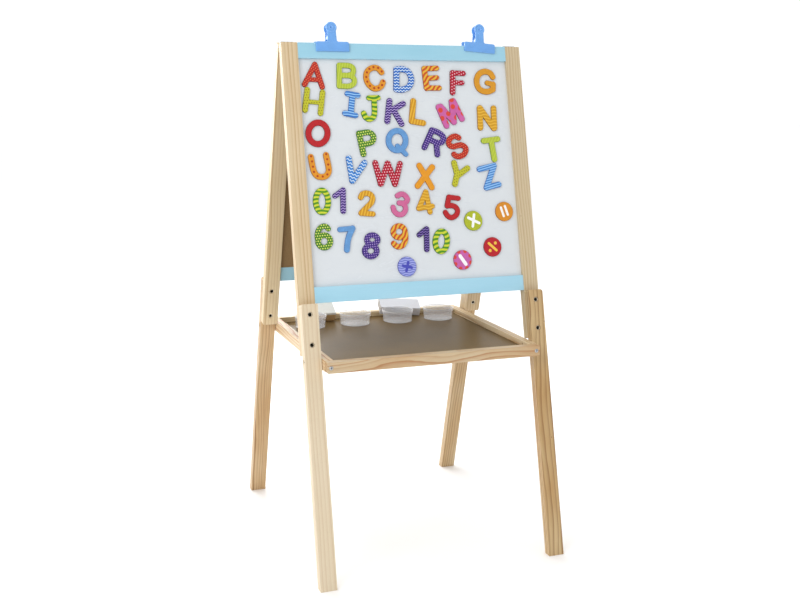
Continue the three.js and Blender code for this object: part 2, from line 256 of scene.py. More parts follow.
def pine(name, where="front", axis="z", pith=(30, 70), seed=0.0, ring=3.2, early=EARLY, late=LATE, warm=WARM,
         contrast=1.0, slope=0.004, wob=7.0, knots=(), rough=0.46, warmth=0.5, endk=0.78):
    """A solid pine texture: growth rings round a pith line that runs with the piece's grain, fibres, flecks, end grain."""
    M = Mat(name, Coat_Weight=0.12, Coat_Roughness=0.35)
    # every colour passes through the per-piece trim, which carries painted light and shade as well as tone
    L3 = lambda c: trim(name, lin(c))
    P = local_mm(M, where)
    x, y, z = M.sep(P)
    a, b, L = {"z": (x, y, z), "x": (y, z, x), "y": (x, z, y)}[axis]
    n1 = M.noise(M.comb(M.math("MULTIPLY_ADD", a, 0.012, seed), M.math("MULTIPLY_ADD", b, 0.012, seed * 1.7),
                        M.math("MULTIPLY_ADD", L, 0.0032, seed * 0.9)), 1.0, 1.5, 0.45)
    n2 = M.noise(M.comb(M.math("MULTIPLY_ADD", a, 0.05, seed + 9), M.math("MULTIPLY_ADD", b, 0.05, seed),
                        M.math("MULTIPLY_ADD", L, 0.011, seed)), 1.0, 2.0, 0.5)
    qa = M.math("MULTIPLY_ADD", L, slope, M.math("ADD", a, -pith[0]))
    qb = M.math("MULTIPLY_ADD", L, -slope * 0.6, M.math("ADD", b, -pith[1]))
    r = M.math("SQRT", M.math("ADD", M.math("MULTIPLY", qa, qa), M.math("MULTIPLY", qb, qb)))
    r = M.math("ADD", r, M.math("MULTIPLY", M.math("SUBTRACT", n1, 0.5), wob * 2.4))
    r = M.math("ADD", r, M.math("MULTIPLY", M.math("SUBTRACT", n2, 0.5), wob * 0.35))
    kn = None
    for (ka, kb, kl, kr) in knots:
        dv = M.comb(M.math("SUBTRACT", a, ka), M.math("SUBTRACT", b, kb), M.math("MULTIPLY", M.math("SUBTRACT", L, kl), 0.55))
        dist = M.vmath("LENGTH", dv)
        r = M.math("ADD", r, M.math("MULTIPLY", M.fit(dist, 0, kr * 4.5, 1, 0, True), kr * 1.3))
        one = M.fit(dist, kr * 0.7, kr * 1.15, 1, 0, True)
        kn = one if kn is None else M.math("MAXIMUM", kn, one)
    t = M.math("DIVIDE", r, ring)
    t = M.math("ADD", t, M.math("MULTIPLY", M.noise(M.comb(M.math("MULTIPLY", t, 0.31), seed, 0.0), 1.0, 1.0), 2.2))
    f = M.math("FRACT", t)
    late_k = M.ramp(f, [(0.0, (0, 0, 0, 1)), (0.30, (0.05, 0.05, 0.05, 1)), (0.62, (0.35, 0.35, 0.35, 1)),
                        (0.86, (1, 1, 1, 1)), (0.94, (0.9, 0.9, 0.9, 1)), (1.0, (0, 0, 0, 1))])
    wid = M.noise(M.comb(M.math("MULTIPLY", M.math("FLOOR", t), 0.77), seed, 3.0), 1.0, 0.0)
    late_k = M.math("MULTIPLY", late_k, M.fit(wid, 0.3, 0.7, 0.45, 1.0))
    fib = M.noise(M.comb(M.math("MULTIPLY", a, 1.5), M.math("MULTIPLY", b, 1.5), M.math("MULTIPLY", L, 0.035)), 1.0, 4.0, 0.6)
    broad = M.noise(M.comb(M.math("MULTIPLY_ADD", a, 0.02, seed), M.math("MULTIPLY", b, 0.02), M.math("MULTIPLY", L, 0.006)), 1.0, 2.0)
    col = M.mix(M.fit(broad, 0.32, 0.68, 0, warmth), L3(early), L3(warm))
    col = M.mix(M.math("MULTIPLY", late_k, 0.80 * contrast, clamp=True), col, L3(late))
    col = M.mix(M.fit(fib, 0.3, 0.75, 0.0, 0.42), col, M.mix(0.5, col, L3(late)), "MIX")
    fl = M.noise(M.comb(M.math("MULTIPLY", a, 2.6), M.math("MULTIPLY", b, 2.6), M.math("MULTIPLY", L, 0.11)), 1.0, 2.0)
    col = M.mix(M.fit(fl, 0.665, 0.74, 0, 0.35), col, L3((140, 98, 56)))
    if kn is not None:
        col = M.mix(M.math("MULTIPLY", kn, 0.85), col, lin((112, 72, 40)))
    # end grain soaks up more finish
    g = {"z": 2, "x": 0, "y": 1}[axis]
    nrm = M.coord("Normal")
    if where in ("front", "rear"):
        nrm = M.map(nrm, rot=(TH if where == "front" else -TH, 0, 0))
    elif isinstance(where, Matrix):
        nrm = M.map(nrm, rot=tuple(where.to_3x3().to_euler("XYZ")))
    end = M.fit(M.math("ABSOLUTE", M.sep(nrm)[g]), 0.75, 0.95, 0, 1, True)
    col = M.mix(M.math("MULTIPLY", end, 1 - endk + 0.12), col, L3((176, 132, 82)))
    M.set("Base Color", col)
    M.set("Roughness", M.math("ADD", M.fit(fib, 0.25, 0.75, rough - 0.07, rough + 0.10), M.math("MULTIPLY", end, 0.2)))
    h = M.math("ADD", M.math("MULTIPLY", fib, 0.6), M.math("MULTIPLY", late_k, 0.5))
    M.set("Normal", M.bump(h, 0.22, 0.0003))
    return M.m


# ------------------------------------------------------------------ other materials
def painted(name, where, s0, s1, seed=0.0, col=(158, 205, 224)):
    """Sky-blue satin paint over pine, with brush and grain telegraphing through and slight rubbing on the long edges."""
    M = Mat(name, Coat_Weight=0.15, Coat_Roughness=0.3)
    P = local_mm(M, where)
    x, y, z = M.sep(P)
    grain = M.noise(M.comb(M.math("MULTIPLY", x, 0.02), M.math("MULTIPLY_ADD", y, 0.6, seed), M.math("MULTIPLY", z, 0.6)), 1.0, 4.0, 0.6)
    brush = M.noise(M.comb(M.math("MULTIPLY", x, 0.008), M.math("MULTIPLY", y, 1.9), M.math("MULTIPLY_ADD", z, 1.9, seed)), 1.0, 2.0, 0.5)
    broad = M.noise(M.comb(M.math("MULTIPLY_ADD", x, 0.006, seed), M.math("MULTIPLY", y, 0.02), M.math("MULTIPLY", z, 0.02)), 1.0, 2.0)
    # the paint colours pass through the per-piece trim, which carries painted light and shade as well as tone
    c = M.mix(M.fit(broad, 0.35, 0.65), trim(name, lin(col)), trim(name, lin((col[0] - 7, col[1] - 4, col[2] - 3))))
    c = M.mix(M.fit(grain, 0.45, 0.75, 0, 0.20), c, trim(name, lin((col[0] - 24, col[1] - 16, col[2] - 12))))
    # rubbed arrises
    sg = -1 if where == "front" else 1
    d = M.math("MULTIPLY", y, sg)
    s = M.math("MULTIPLY", z, -1.0)
    ed = M.math("MINIMUM", M.math("ABSOLUTE", M.math("SUBTRACT", d, 6.0)), M.math("ABSOLUTE", M.math("SUBTRACT", d, 18.0)))
    es = M.math("MINIMUM", M.math("ABSOLUTE", M.math("SUBTRACT", s, s0)), M.math("ABSOLUTE", M.math("SUBTRACT", s, s1)))
    e = M.math("MAXIMUM", ed, es)
    rub = M.math("MULTIPLY", M.fit(e, 0.25, 1.1, 1, 0), M.fit(M.noise(P, 0.06, 5.0, 0.7), 0.50, 0.64, 0, 1))
    c = M.mix(M.math("MULTIPLY", rub, 0.5), c, lin((222, 226, 218)))
    M.set("Base Color", c)
    M.set("Roughness", M.fit(brush, 0.3, 0.7, 0.34, 0.48))
    M.set("Normal", M.bump(M.math("ADD", M.math("MULTIPLY", grain, 0.7), M.math("MULTIPLY", brush, 0.3)), 0.18, 0.00025))
    return M.m


def fibreboard(M, P, dark, light, scale=1.0):
    """Brown hardboard: pressed fibres in every direction, small dark and pale flecks."""
    n1 = M.noise(P, 0.55 * scale, 6.0, 0.75)
    n2 = M.noise(M.map(P, rot=(0.4, 0.2, 0.7), scale=(0.16, 0.9, 0.9)), 1.0, 3.0, 0.6)
    n3 = M.noise(M.map(P, rot=(-0.3, 0.5, 2.1), scale=(0.2, 1.3, 1.3)), 1.0, 3.0, 0.6)
    n4 = M.noise(P, 0.012, 2.0)
    c = M.mix(M.fit(n1, 0.32, 0.68), lin(dark), lin(light))
    c = M.mix(M.fit(n2, 0.60, 0.72, 0, 0.35), c, mul(lin(dark), 0.6))
    c = M.mix(M.fit(n3, 0.62, 0.74, 0, 0.35), c, mul(lin(light), 1.25))
    c = M.mix(M.fit(n4, 0.35, 0.65, 0, 0.25), c, mul(lin(dark), 0.9))
    return c, n1, n2


def board_mat(name, where, front):
    """One panel with a written-on face outward and bare hardboard inward."""
    M = Mat(name)
    P = local_mm(M, where)
    x, y, z = M.sep(P)
    sg = -1 if where == "front" else 1
    d = M.math("MULTIPLY", y, sg)
    face = M.fit(d, 9.9, 10.1)
    brown, n1, n2 = fibreboard(M, P, (122, 96, 60), (160, 130, 88))
    if front:
        sm = M.noise(M.map(P, rot=(0, 0.5, 0), scale=(0.010, 0.01, 0.035)), 1.0, 4.0, 0.6, 0.6)
        ghost = M.noise(M.map(P, rot=(0, -0.35, 0), scale=(0.02, 0.02, 0.12)), 1.0, 3.0, 0.6, 1.5)
        c = M.mix(M.fit(sm, 0.4, 0.7, 0, 0.5), lin((216, 221, 225)), lin((210, 215, 221)))
        c = M.mix(M.fit(ghost, 0.62, 0.78, 0, 0.35), c, lin((196, 203, 214)))
        rough_face = M.fit(sm, 0.3, 0.7, 0.16, 0.30)
        hgt = M.noise(P, 0.03, 2.0)
        M.b.inputs["Coat Weight"].default_value = 0.25
        M.b.inputs["Coat Roughness"].default_value = 0.12
    else:
        sw = M.noise(M.map(P, rot=(0, 0.9, 0), scale=(0.006, 0.01, 0.045)), 1.0, 5.0, 0.65, 1.2)
        sw2 = M.noise(M.map(P, rot=(0, -0.6, 0), scale=(0.05, 0.05, 0.009)), 1.0, 4.0, 0.65, 0.8)
        grit = M.noise(P, 2.2, 3.0, 0.7)
        c = M.mix(M.fit(grit, 0.3, 0.7), lin((42, 47, 46)), lin((54, 59, 57)))
        c = M.mix(M.fit(sw, 0.45, 0.8, 0, 0.10), c, lin((150, 154, 150)))
        c = M.mix(M.math("MULTIPLY", M.fit(sw2, 0.55, 0.8, 0, 0.07), M.fit(grit, 0.35, 0.6)), c, lin((196, 198, 194)))
        rough_face = M.fit(sw, 0.3, 0.8, 0.72, 0.92)
        hgt = grit
    M.set("Base Color", M.mix(face, brown, c))
    rr = M.new("ShaderNodeMix", data_type="FLOAT")
    M.put(rr.inputs[0], face)
    M.put(rr.inputs[2], M.fit(n1, 0.3, 0.7, 0.55, 0.75))
    M.put(rr.inputs[3], rough_face)
    M.set("Roughness", rr.outputs[0])
    hh = M.new("ShaderNodeMix", data_type="FLOAT")
    M.put(hh.inputs[0], face)
    M.put(hh.inputs[2], n1)
    M.put(hh.inputs[3], hgt)
    M.set("Normal", M.bump(hh.outputs[0], 0.10 if front else 0.25, 0.0003))
    return M.m


def panel_mat(name):
    M = Mat(name, Coat_Weight=0.05, Coat_Roughness=0.22, Specular_IOR_Level=0.10)
    P = local_mm(M, "row")
    c, n1, n2 = fibreboard(M, P, (100, 80, 48), (132, 108, 68), 0.8)
    sc = M.noise(M.map(P, rot=(0, 0, 0.6), scale=(0.012, 0.25, 0.2)), 1.0, 3.0, 0.6, 0.4)
    c = M.mix(M.fit(sc, 0.68, 0.78, 0, 0.22), c, lin((164, 140, 100)))
    M.set("Base Color", c)
    M.set("Roughness", M.fit(n1, 0.3, 0.7, 0.34, 0.46))
    M.set("Normal", M.bump(n1, 0.12, 0.0002))
    return M.m


def metal(name, col=(196, 198, 200), rough=0.28, dark=0.0, brushed=(1, 1, 1)):
    M = Mat(name, Metallic=1.0)
    P = local_mm(M, "row")
    n = M.noise(M.map(P, scale=brushed), 1.2, 4.0, 0.6)
    t = M.noise(P, 0.35, 3.0, 0.6)
    c = M.mix(M.fit(n, 0.3, 0.7), lin(col), mul(lin(col), 0.8))
    c = M.mix(M.fit(t, 0.55, 0.75, 0, 0.35), c, mul(lin((170, 160, 140)), 0.7))
    M.set("Base Color", c)
    M.set("Roughness", M.fit(n, 0.3, 0.7, rough - 0.06, rough + 0.12))
    M.set("Normal", M.bump(n, 0.15, 0.0001))
    return M.m


def plastic(name, col, rough=0.34, sss=0.0):
    M = Mat(name, Coat_Weight=0.45, Coat_Roughness=0.16)
    P = local_mm(M, "row")
    n = M.noise(P, 1.4, 4.0, 0.65)
    b = M.noise(P, 0.05, 2.0)
    sc = M.noise(M.map(P, rot=(0.3, 0.8, 0.1), scale=(0.08, 2.2, 2.2)), 1.0, 2.0)
    c = M.mix(M.fit(b, 0.35, 0.65), lin(col), mul(lin(col), 0.93))
    c = M.mix(M.fit(sc, 0.70, 0.80, 0, 0.25), c, mul(lin(col), 1.25))
    M.set("Base Color", c)
    M.set("Roughness", M.fit(n, 0.3, 0.7, rough - 0.05, rough + 0.08))
    M.set("Normal", M.bump(n, 0.10, 0.00012))
    return M.m


def frosted(name, alpha=0.26):
    """Thin milky polypropylene: the wall is see-through in part and whitens where it is thick or seen edge-on."""
    M = Mat(name, Alpha=alpha, Coat_Weight=0.5, Coat_Roughness=0.12, IOR=1.49)
    P = local_mm(M, "row")
    n = M.noise(P, 0.9, 4.0, 0.6)
    w = M.noise(M.map(P, scale=(0.02, 0.02, 0.5)), 1.0, 2.0)
    M.set("Base Color", M.mix(M.fit(w, 0.35, 0.65), lin((250, 250, 252)), lin((240, 241, 246))))
    M.set("Roughness", M.fit(n, 0.3, 0.7, 0.24, 0.38))
    M.set("Normal", M.bump(n, 0.08, 0.0002))
    return M.m


def felt_mat(name):
    M = Mat(name, Sheen_Weight=0.4, Sheen_Roughness=0.5)
    P = local_mm(M, "row")
    n = M.noise(P, 1.6, 6.0, 0.8, 0.8)
    n2 = M.noise(M.map(P, rot=(0.5, 0.3, 1.0), scale=(0.4, 2.6, 2.6)), 1.0, 3.0, 0.7)
    big = M.noise(P, 0.09, 3.0)
    c = M.mix(M.fit(n, 0.3, 0.7), lin((226, 226, 220)), lin((252, 252, 247)))
    c = M.mix(M.fit(n2, 0.6, 0.75, 0, 0.3), c, lin((190, 190, 186)))
    c = M.mix(M.fit(big, 0.5, 0.75, 0, 0.15), c, lin((196, 204, 210)))
    M.set("Base Color", c)
    M.set("Roughness", M.fit(n, 0.3, 0.7, 0.85, 1.0))
    M.set("Normal", M.bump(M.math("ADD", n, n2), 0.7, 0.0008))
    return M.m


def card_mat(name, where):
    M = Mat(name)
    P = local_mm(M, where)
    x, y, z = M.sep(P)
    n = M.noise(P, 1.1, 5.0, 0.7)
    b = M.noise(P, 0.04, 3.0)
    c = M.mix(M.fit(n, 0.3, 0.7), lin((238, 238, 243)), lin((228, 229, 236)))
    c = M.mix(M.fit(b, 0.5, 0.8, 0, 0.25), c, lin((214, 212, 214)))
    M.set("Base Color", c)
    M.set("Roughness", M.fit(n, 0.3, 0.7, 0.55, 0.7))
    M.set("Normal", M.bump(n, 0.12, 0.0003))
    return M.m


# ------------------------------------------------------------------ geometry helpers
def new_obj(name, verts, faces, mats, face_mat=None, smooth=True, body=None, sharp=None, attrs=None):
    me = bpy.data.meshes.new(name)
    me.from_pydata([tuple(v) for v in verts], [], faces)
    for mt in mats:
        me.materials.append(mt)
    if face_mat is not None:
        me.polygons.foreach_set("material_index", face_mat)
    me.polygons.foreach_set("use_smooth", [bool(smooth)] * len(faces))
    if attrs:
        for k, vals in attrs.items():
            at = me.attributes.new(k, "FLOAT", "POINT")
            at.data.foreach_set("value", vals)
    me.update()
    if sharp is not None:
        # edges between faces that turn by more than `sharp` degrees stay crisp
        import bmesh
        bm = bmesh.new()
        bm.from_mesh(me)
        lim = math.radians(sharp)
        for e in bm.edges:
            if len(e.link_faces) == 2 and e.link_faces[0].normal.angle(e.link_faces[1].normal, 0) > lim:
                e.smooth = False
        bm.to_mesh(me)
        bm.free()
    ob = bpy.data.objects.new(name, me)
    bpy.context.scene.collection.objects.link(ob)
    if body:
        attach(ob, body)
    return ob


def catmull(p, closed, k=5):
    p = [np.array(q, float) for q in p]
    n = len(p)
    if n < 3:
        return p
    if closed:
        p = p[:-1]
        n -= 1
        get = lambda i: p[i % n]
        rng = range(n)
    else:
        get = lambda i: p[i] if 0 <= i < n else (2 * p[0] - p[1] if i < 0 else 2 * p[-1] - p[-2])
        rng = range(n - 1)
    out = []
    for i in rng:
        a, b, c, d = get(i - 1), get(i), get(i + 1), get(i + 2)
        for j in range(k):
            t = j / k
            out.append(0.5 * (2 * b + (c - a) * t + (2 * a - 5 * b + 4 * c - d) * t * t + (3 * b - a - 3 * c + d) * t ** 3))
    out.append(p[0] if closed else p[-1])
    return out


def seg_dist(X, Y, pts):
    D = np.full(X.shape, 1e9)
    if len(pts) == 1:
        return np.hypot(X - pts[0][0], Y - pts[0][1])
    for a, b in zip(pts[:-1], pts[1:]):
        dx, dy = b[0] - a[0], b[1] - a[1]
        l2 = dx * dx + dy * dy or 1e-9
        t = np.clip(((X - a[0]) * dx + (Y - a[1]) * dy) / l2, 0, 1)
        D = np.minimum(D, np.hypot(X - a[0] - t * dx, Y - a[1] - t * dy))
    return D


def sdf_plate(sdf, lo, hi, h, T, b, under=False, lift=None):
    """A closed plate from a signed distance (positive inside): grid faces with rounded rims. Returns verts (u, v, w), faces, face kinds, rim distance."""
    nx, ny = int(math.ceil((hi[0] - lo[0]) / h)), int(math.ceil((hi[1] - lo[1]) / h))
    gx, gy = lo[0] + h * np.arange(nx + 1), lo[1] + h * np.arange(ny + 1)
    X, Y = np.meshgrid(gx, gy, indexing="ij")
    D = sdf(X, Y)
    D = np.where(np.abs(D) < 0.06 * h, 0.06 * h, D)
    uv, dd, idx = [], [], {}

    def corner(i, j):
        k = (i, j)
        if k not in idx:
            idx[k] = len(uv)
            uv.append((gx[i], gy[j]))
            dd.append(float(D[i, j]))
        return idx[k]

    def cross(i0, j0, i1, j1):
        k = (min((i0, j0), (i1, j1)), max((i0, j0), (i1, j1)))
        if k not in idx:
            a, c = D[i0, j0], D[i1, j1]
            t = a / (a - c)
            idx[k] = len(uv)
            uv.append((gx[i0] + (gx[i1] - gx[i0]) * t, gy[j0] + (gy[j1] - gy[j0]) * t))
            dd.append(0.0)
        return idx[k]

    ins = D > 0
    polys, rim = [], []
    any_in = ins[:-1, :-1] | ins[1:, :-1] | ins[1:, 1:] | ins[:-1, 1:]
    for i, j in zip(*np.nonzero(any_in)):
        cs = ((i, j), (i + 1, j), (i + 1, j + 1), (i, j + 1))
        if ins[i, j] and ins[i + 1, j] and ins[i + 1, j + 1] and ins[i, j + 1]:
            polys.append([corner(*c) for c in cs])
            continue
        poly, last = [], None
        exits = []
        for k in range(4):
            a, c = cs[k], cs[(k + 1) % 4]
            if ins[a]:
                poly.append(corner(*a))
            if ins[a] != ins[c]:
                v = cross(*a, *c)
                poly.append(v)
                exits.append((v, bool(ins[a]), len(poly) - 1))
        if len(poly) >= 3:
            polys.append(poly)
            for v, out, pos in exits:
                if out:
                    rim.append((v, poly[(pos + 1) % len(poly)]))
    n = len(uv)
    d = np.array(dd)
    q = np.clip(d, 0, b)
    rise = np.sqrt(np.maximum(b * b - (b - q) ** 2, 0))
    top = T - b + rise
    bot = (b - rise) if under else np.zeros(n)
    if lift is not None:
        U = np.array(uv)
        tl, bl = lift(U[:, 0], U[:, 1], d)
        top, bot = top + tl, bot + bl
    verts = [(uv[i][0], uv[i][1], top[i]) for i in range(n)] + [(uv[i][0], uv[i][1], bot[i]) for i in range(n)]
    faces = [list(p) for p in polys] + [[v + n for v in reversed(p)] for p in polys] + [[c, a, a + n, c + n] for a, c in rim]
    kinds = [0] * len(polys) + [2] * len(polys) + [1] * len(rim)
    return verts, faces, kinds, list(d) + list(d)


def turned(name, rings, place, mats, n=48, body=None, mat_from=None, sharp=35):
    """A turned piece along w. rings: (kind, radius, w); kind is circle, hex or cross; a zero radius closes an end."""
    verts, faces, fm = [], [], []
    prev = None
    for ri, (kind, r, w) in enumerate(rings):
        if r == 0:
            cur = [len(verts)]
            verts.append(place(0, 0, w))
        else:
            cur = []
            for i in range(n):
                a = 2 * math.pi * i / n
                rr = r
                if kind == "hex":
                    q = (a % (math.pi / 3)) - math.pi / 6
                    rr = r * math.cos(math.pi / 6) / math.cos(q)
                if kind == "cross":
                    q = abs(((a + math.pi / 4) % (math.pi / 2)) - math.pi / 4)
                    rr = r if q < 0.24 else max(r * 0.36, r * (1 - (q - 0.24) * 2.8))
                cur.append(len(verts))
                verts.append(place(rr * math.cos(a), rr * math.sin(a), w))
        if prev is not None:
            k = (1 if ri in mat_from else 0) if isinstance(mat_from, set) else (0 if mat_from is None or ri < mat_from else 1)
            if len(prev) == 1 and len(cur) > 1:
                for i in range(n):
                    faces.append([prev[0], cur[(i + 1) % n], cur[i]]); fm.append(k)
            elif len(cur) == 1:
                for i in range(n):
                    faces.append([cur[0], prev[i], prev[(i + 1) % n]]); fm.append(k)
            else:
                for i in range(n):
                    j = (i + 1) % n
                    faces.append([prev[i], prev[j], cur[j], cur[i]]); fm.append(k)
        prev = cur
    return new_obj(name, verts, faces, mats, fm, True, body, sharp)


def tube(pts, r, n=8):
    """verts and faces of a round wire with closed ends."""
    pts = [Vector(p) for p in pts]
    verts, faces = [], []
    nrm = None
    for i, p in enumerate(pts):
        t = (pts[min(i + 1, len(pts) - 1)] - pts[max(i - 1, 0)]).normalized()
        if nrm is None:
            nrm = t.orthogonal().normalized()
        nrm = (nrm - t * nrm.dot(t)).normalized()
        bi = t.cross(nrm)
        for k in range(n):
            a = 2 * math.pi * k / n
            verts.append(p + nrm * (r * math.cos(a)) + bi * (r * math.sin(a)))
    for i in range(len(pts) - 1):
        for k in range(n):
            j = (k + 1) % n
            faces.append([i * n + k, i * n + j, (i + 1) * n + j, (i + 1) * n + k])
    faces.append([k for k in reversed(range(n))])
    faces.append([(len(pts) - 1) * n + k for k in range(n)])
    return verts, faces


def dress(node, mat, bevel=1.1, seg=3, angle=40):
    """A CAD node keeps its mesh; welding, planar clean-up and a rounded arris come as modifiers."""
    ob = NODES[node]
    ob.data.materials.clear()
    ob.data.materials.append(mat)
    if bevel:
        w = ob.modifiers.new("weld", "WELD")
        w.merge_threshold = 0.00001
        dm = ob.modifiers.new("planar", "DECIMATE")
        dm.decimate_type = "DISSOLVE"
        dm.angle_limit = math.radians(1.0)
        bv = ob.modifiers.new("arris", "BEVEL")
        bv.width = bevel / 1000
        bv.segments = seg
        bv.limit_method = "ANGLE"
        bv.angle_limit = math.radians(angle)
        bv.use_clamp_overlap = True
    return ob


# ------------------------------------------------------------------ the wooden pieces
PALE_E, PALE_L, PALE_W = (232, 218, 190), (206, 178, 138), (224, 206, 170)
TAN_E, TAN_L, TAN_W = (222, 202, 164), (178, 140, 92), (208, 180, 134)
DARK_E, DARK_L, DARK_W = (210, 182, 134), (150, 108, 62), (196, 158, 104)

dress("front_stile_left", pine("pine_stile_fl", "front", "z", (-352, 62), 1.3, 6.2, TAN_E, TAN_L, TAN_W, 0.95, 0.002, 4))
dress("front_stile_right", pine("pine_stile_fr", "front", "z", (352, 66), 4.1, 5.4, TAN_E, TAN_L, PALE_W, 0.9, 0.003, 5,
                                knots=((247, -17, -383, 1.3),)))
dress("front_leg_left", pine("pine_leg_fl", "front", "z", (-352, 20), 7.7, 6.6, PALE_E, PALE_L, PALE_W, 0.7, 0.003, 4, warmth=0.3,
                             knots=((-274, -22, -690, 1.1),)))
dress("front_leg_right", pine("pine_leg_fr", "front", "z", (214, 42), 11.9, 5.6, TAN_E, (140, 98, 52), DARK_W, 1.3, -0.006, 7, warmth=0.8,
                              knots=((268, -36, -870, 0.9), (273, -36, -618, 1.2))))
dress("rear_stile_left", pine("pine_stile_rl", "rear", "z", (-330, 84), 2.2, 5.2, TAN_E, TAN_L, TAN_W, 0.8, 0.003, 5))
dress("rear_stile_right", pine("pine_stile_rr", "rear", "z", (340, 80), 6.0, 5.0, TAN_E, TAN_L, TAN_W, 0.9, -0.003, 6))
dress("rear_leg_left", pine("pine_leg_rl", "rear", "z", (-330, 110), 3.3, 4.6, TAN_E, DARK_L, DARK_W, 1.15, 0.004, 6, warmth=0.7))
dress("rear_leg_right", pine("pine_leg_rr", "rear", "z", (180, 110), 8.4, 4.8, TAN_E, DARK_L, DARK_W, 1.1, -0.004, 7, warmth=0.7))
dress("tray_front_rail", pine("pine_tray_front", "row", "x", (-206, 400), 5.2, 8.0, PALE_E, (184, 120, 62), (214, 170, 112), 1.0, 0.02, 20), 1.0)
dress("tray_rear_rail", pine("pine_tray_rear", "row", "x", (250, 490), 9.2, 4.6, TAN_E, DARK_L, TAN_W, 1.0, 0.006, 8), 1.0)
dress("tray_side_rail_left", pine("pine_tray_left", "row", "y", (-262, 404), 12.4, 7.0, PALE_E, (184, 118, 62), TAN_W, 1.3, 0.014, 15), 1.0)
dress("tray_side_rail_right", pine("pine_tray_right", "row", "y", (180, 470), 14.4, 5.0, TAN_E, (176, 132, 82), PALE_W, 1.05, 0.010, 11), 1.0)
for side, sg in (("front", -1), ("rear", 1)):
    dress(side + "_top_rail", painted("paint_%s_top" % side, side, 3.5, 36.5, 2.0 + sg), 1.1)
    dress(side + "_lower_rail", painted("paint_%s_low" % side, side, 513.5, 546.5, 5.0 + sg, (162, 208, 226)), 1.1)
dress("whiteboard_panel", board_mat("whiteboard", "front", True), 0)
dress("chalkboard_panel", board_mat("chalkboard", "rear", False), 0)
dress("tray_panel", panel_mat("tray_hardboard"), 0)

# ------------------------------------------------------------------ metal fittings
STEEL = metal("zinc_steel", (198, 200, 203), 0.26)
# sockets and screw recesses get a near-black metal: painted shade inside the hollows
RECESS_SHADE_METAL = metal("recess_painted_shade", (44, 40, 34), 0.55)
BRASSY = metal("bolt_steel", (240, 230, 208), 0.34)
for side, sg in (("front", -1), ("rear", 1)):
    body = side + "_frame"
    for k, tag in ((-1, "left"), (1, "right")):
        for s, pos in ((569, "upper"), (631, "lower")):
            def place(a, b, w, sg=sg, k=k, s=s):
                return FR(sg, k * 257.5 + a * (-sg), s - b, w)
            # the hex sockets at the head and at the nut end are painted near-black as painted shade
            rings = [("circle", 0, 2.9), ("hex", 3.0, 2.9), ("hex", 3.1, 2.1), ("circle", 3.5, 1.66), ("circle", 4.8, 1.62), ("circle", 5.15, 2.0),
                     ("circle", 5.2, 3.6), ("circle", 3.2, 3.7), ("circle", 3.2, 31.4),
                     ("circle", 5.2, 31.5), ("circle", 5.2, 34.0), ("circle", 4.9, 34.38), ("circle", 4.1, 34.4), ("circle", 3.7, 34.0), ("hex", 3.3, 33.2), ("hex", 3.2, 31.9), ("circle", 0, 31.6)]
            o = turned("leg_bolt_%s_%s_%s" % (side, tag, pos), rings, place, [BRASSY, RECESS_SHADE_METAL], 48, body, {1, 2, 3, 14, 15, 16})
            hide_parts("%s_leg_bolt_%s_%s" % (side, tag, pos))
        # tray bolt, along X through the leg; its hex socket is painted near-black as painted shade
        bs = (1083 - 443 + 27 * ST) / CT
        end = 222.5 if sg < 0 else 240.4
        def placeb(a, b, w, sg=sg, k=k, bs=bs):
            return FR(sg, k * w, bs - b, 27 + a * k * (-sg))
        rings = [("circle", 0, end), ("circle", 2.6, end), ("circle", 3.0, end + 0.6), ("circle", 3.0, 270.2), ("circle", 4.7, 270.25), ("circle", 4.7, 272.8),
                 ("circle", 4.3, 273.35), ("circle", 2.8, 273.4), ("hex", 2.4, 273.2), ("hex", 2.3, 271.4), ("circle", 0, 271.2)]
        if k * sg > 0:
            pass
        o = turned("tray_bolt_%s_%s" % (side, tag), rings, placeb, [BRASSY, RECESS_SHADE_METAL], 48, body, 8)
        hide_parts("%s_tray_bolt_%s" % (side, tag))

for k, tag in ((-1, "left"), (1, "right")):
    for o_, pos in ((-1, "front"), (1, "rear")):
        def places(a, b, w, k=k, o_=o_):
            return Vector((k * 231 + a * (-o_), o_ * (226 + w), 438.5 + b)) / 1000
        # the cross recess is painted near-black as painted shade
        rings = [("circle", 0, -36), ("circle", 0.5, -34.5), ("circle", 1.8, -30), ("circle", 1.8, -1.2), ("circle", 4.2, -1.15), ("circle", 4.2, 0.05), ("circle", 3.9, 0.55),
                 ("circle", 3.2, 0.92), ("circle", 2.6, 1.08), ("cross", 2.2, 1.05), ("cross", 1.7, -0.3), ("circle", 0, -0.6)]
        o = turned("tray_screw_%s_%s_head" % (pos, tag), rings, places, [STEEL, RECESS_SHADE_METAL], 64, "tray", 10)
        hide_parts("tray_screw_%s_%s" % (pos, tag))
    by = ((1083 - 443 + 27 * ST) / CT) * ST + 27 * CT
    def placen(a, b, w, k=k, by=by):
        return Vector((k * w, by + a * k, 443 + b)) / 1000
    # the nut's hex socket is painted near-black as painted shade
    rings = [("circle", 0, 224.6), ("hex", 1.9, 224.4), ("hex", 2.0, 222.6), ("circle", 2.3, 222.5), ("circle", 2.8, 222.5), ("circle", 3.0, 222.8), ("circle", 3.0, 238.5), ("circle", 2.7, 238.8), ("circle", 0, 238.8)]
    o = turned("sleeve_nut_%s" % tag, rings, placen, [RECESS_SHADE_METAL, STEEL], 40, "tray", 4)
    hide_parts("tray_sleeve_nut_%s" % tag)

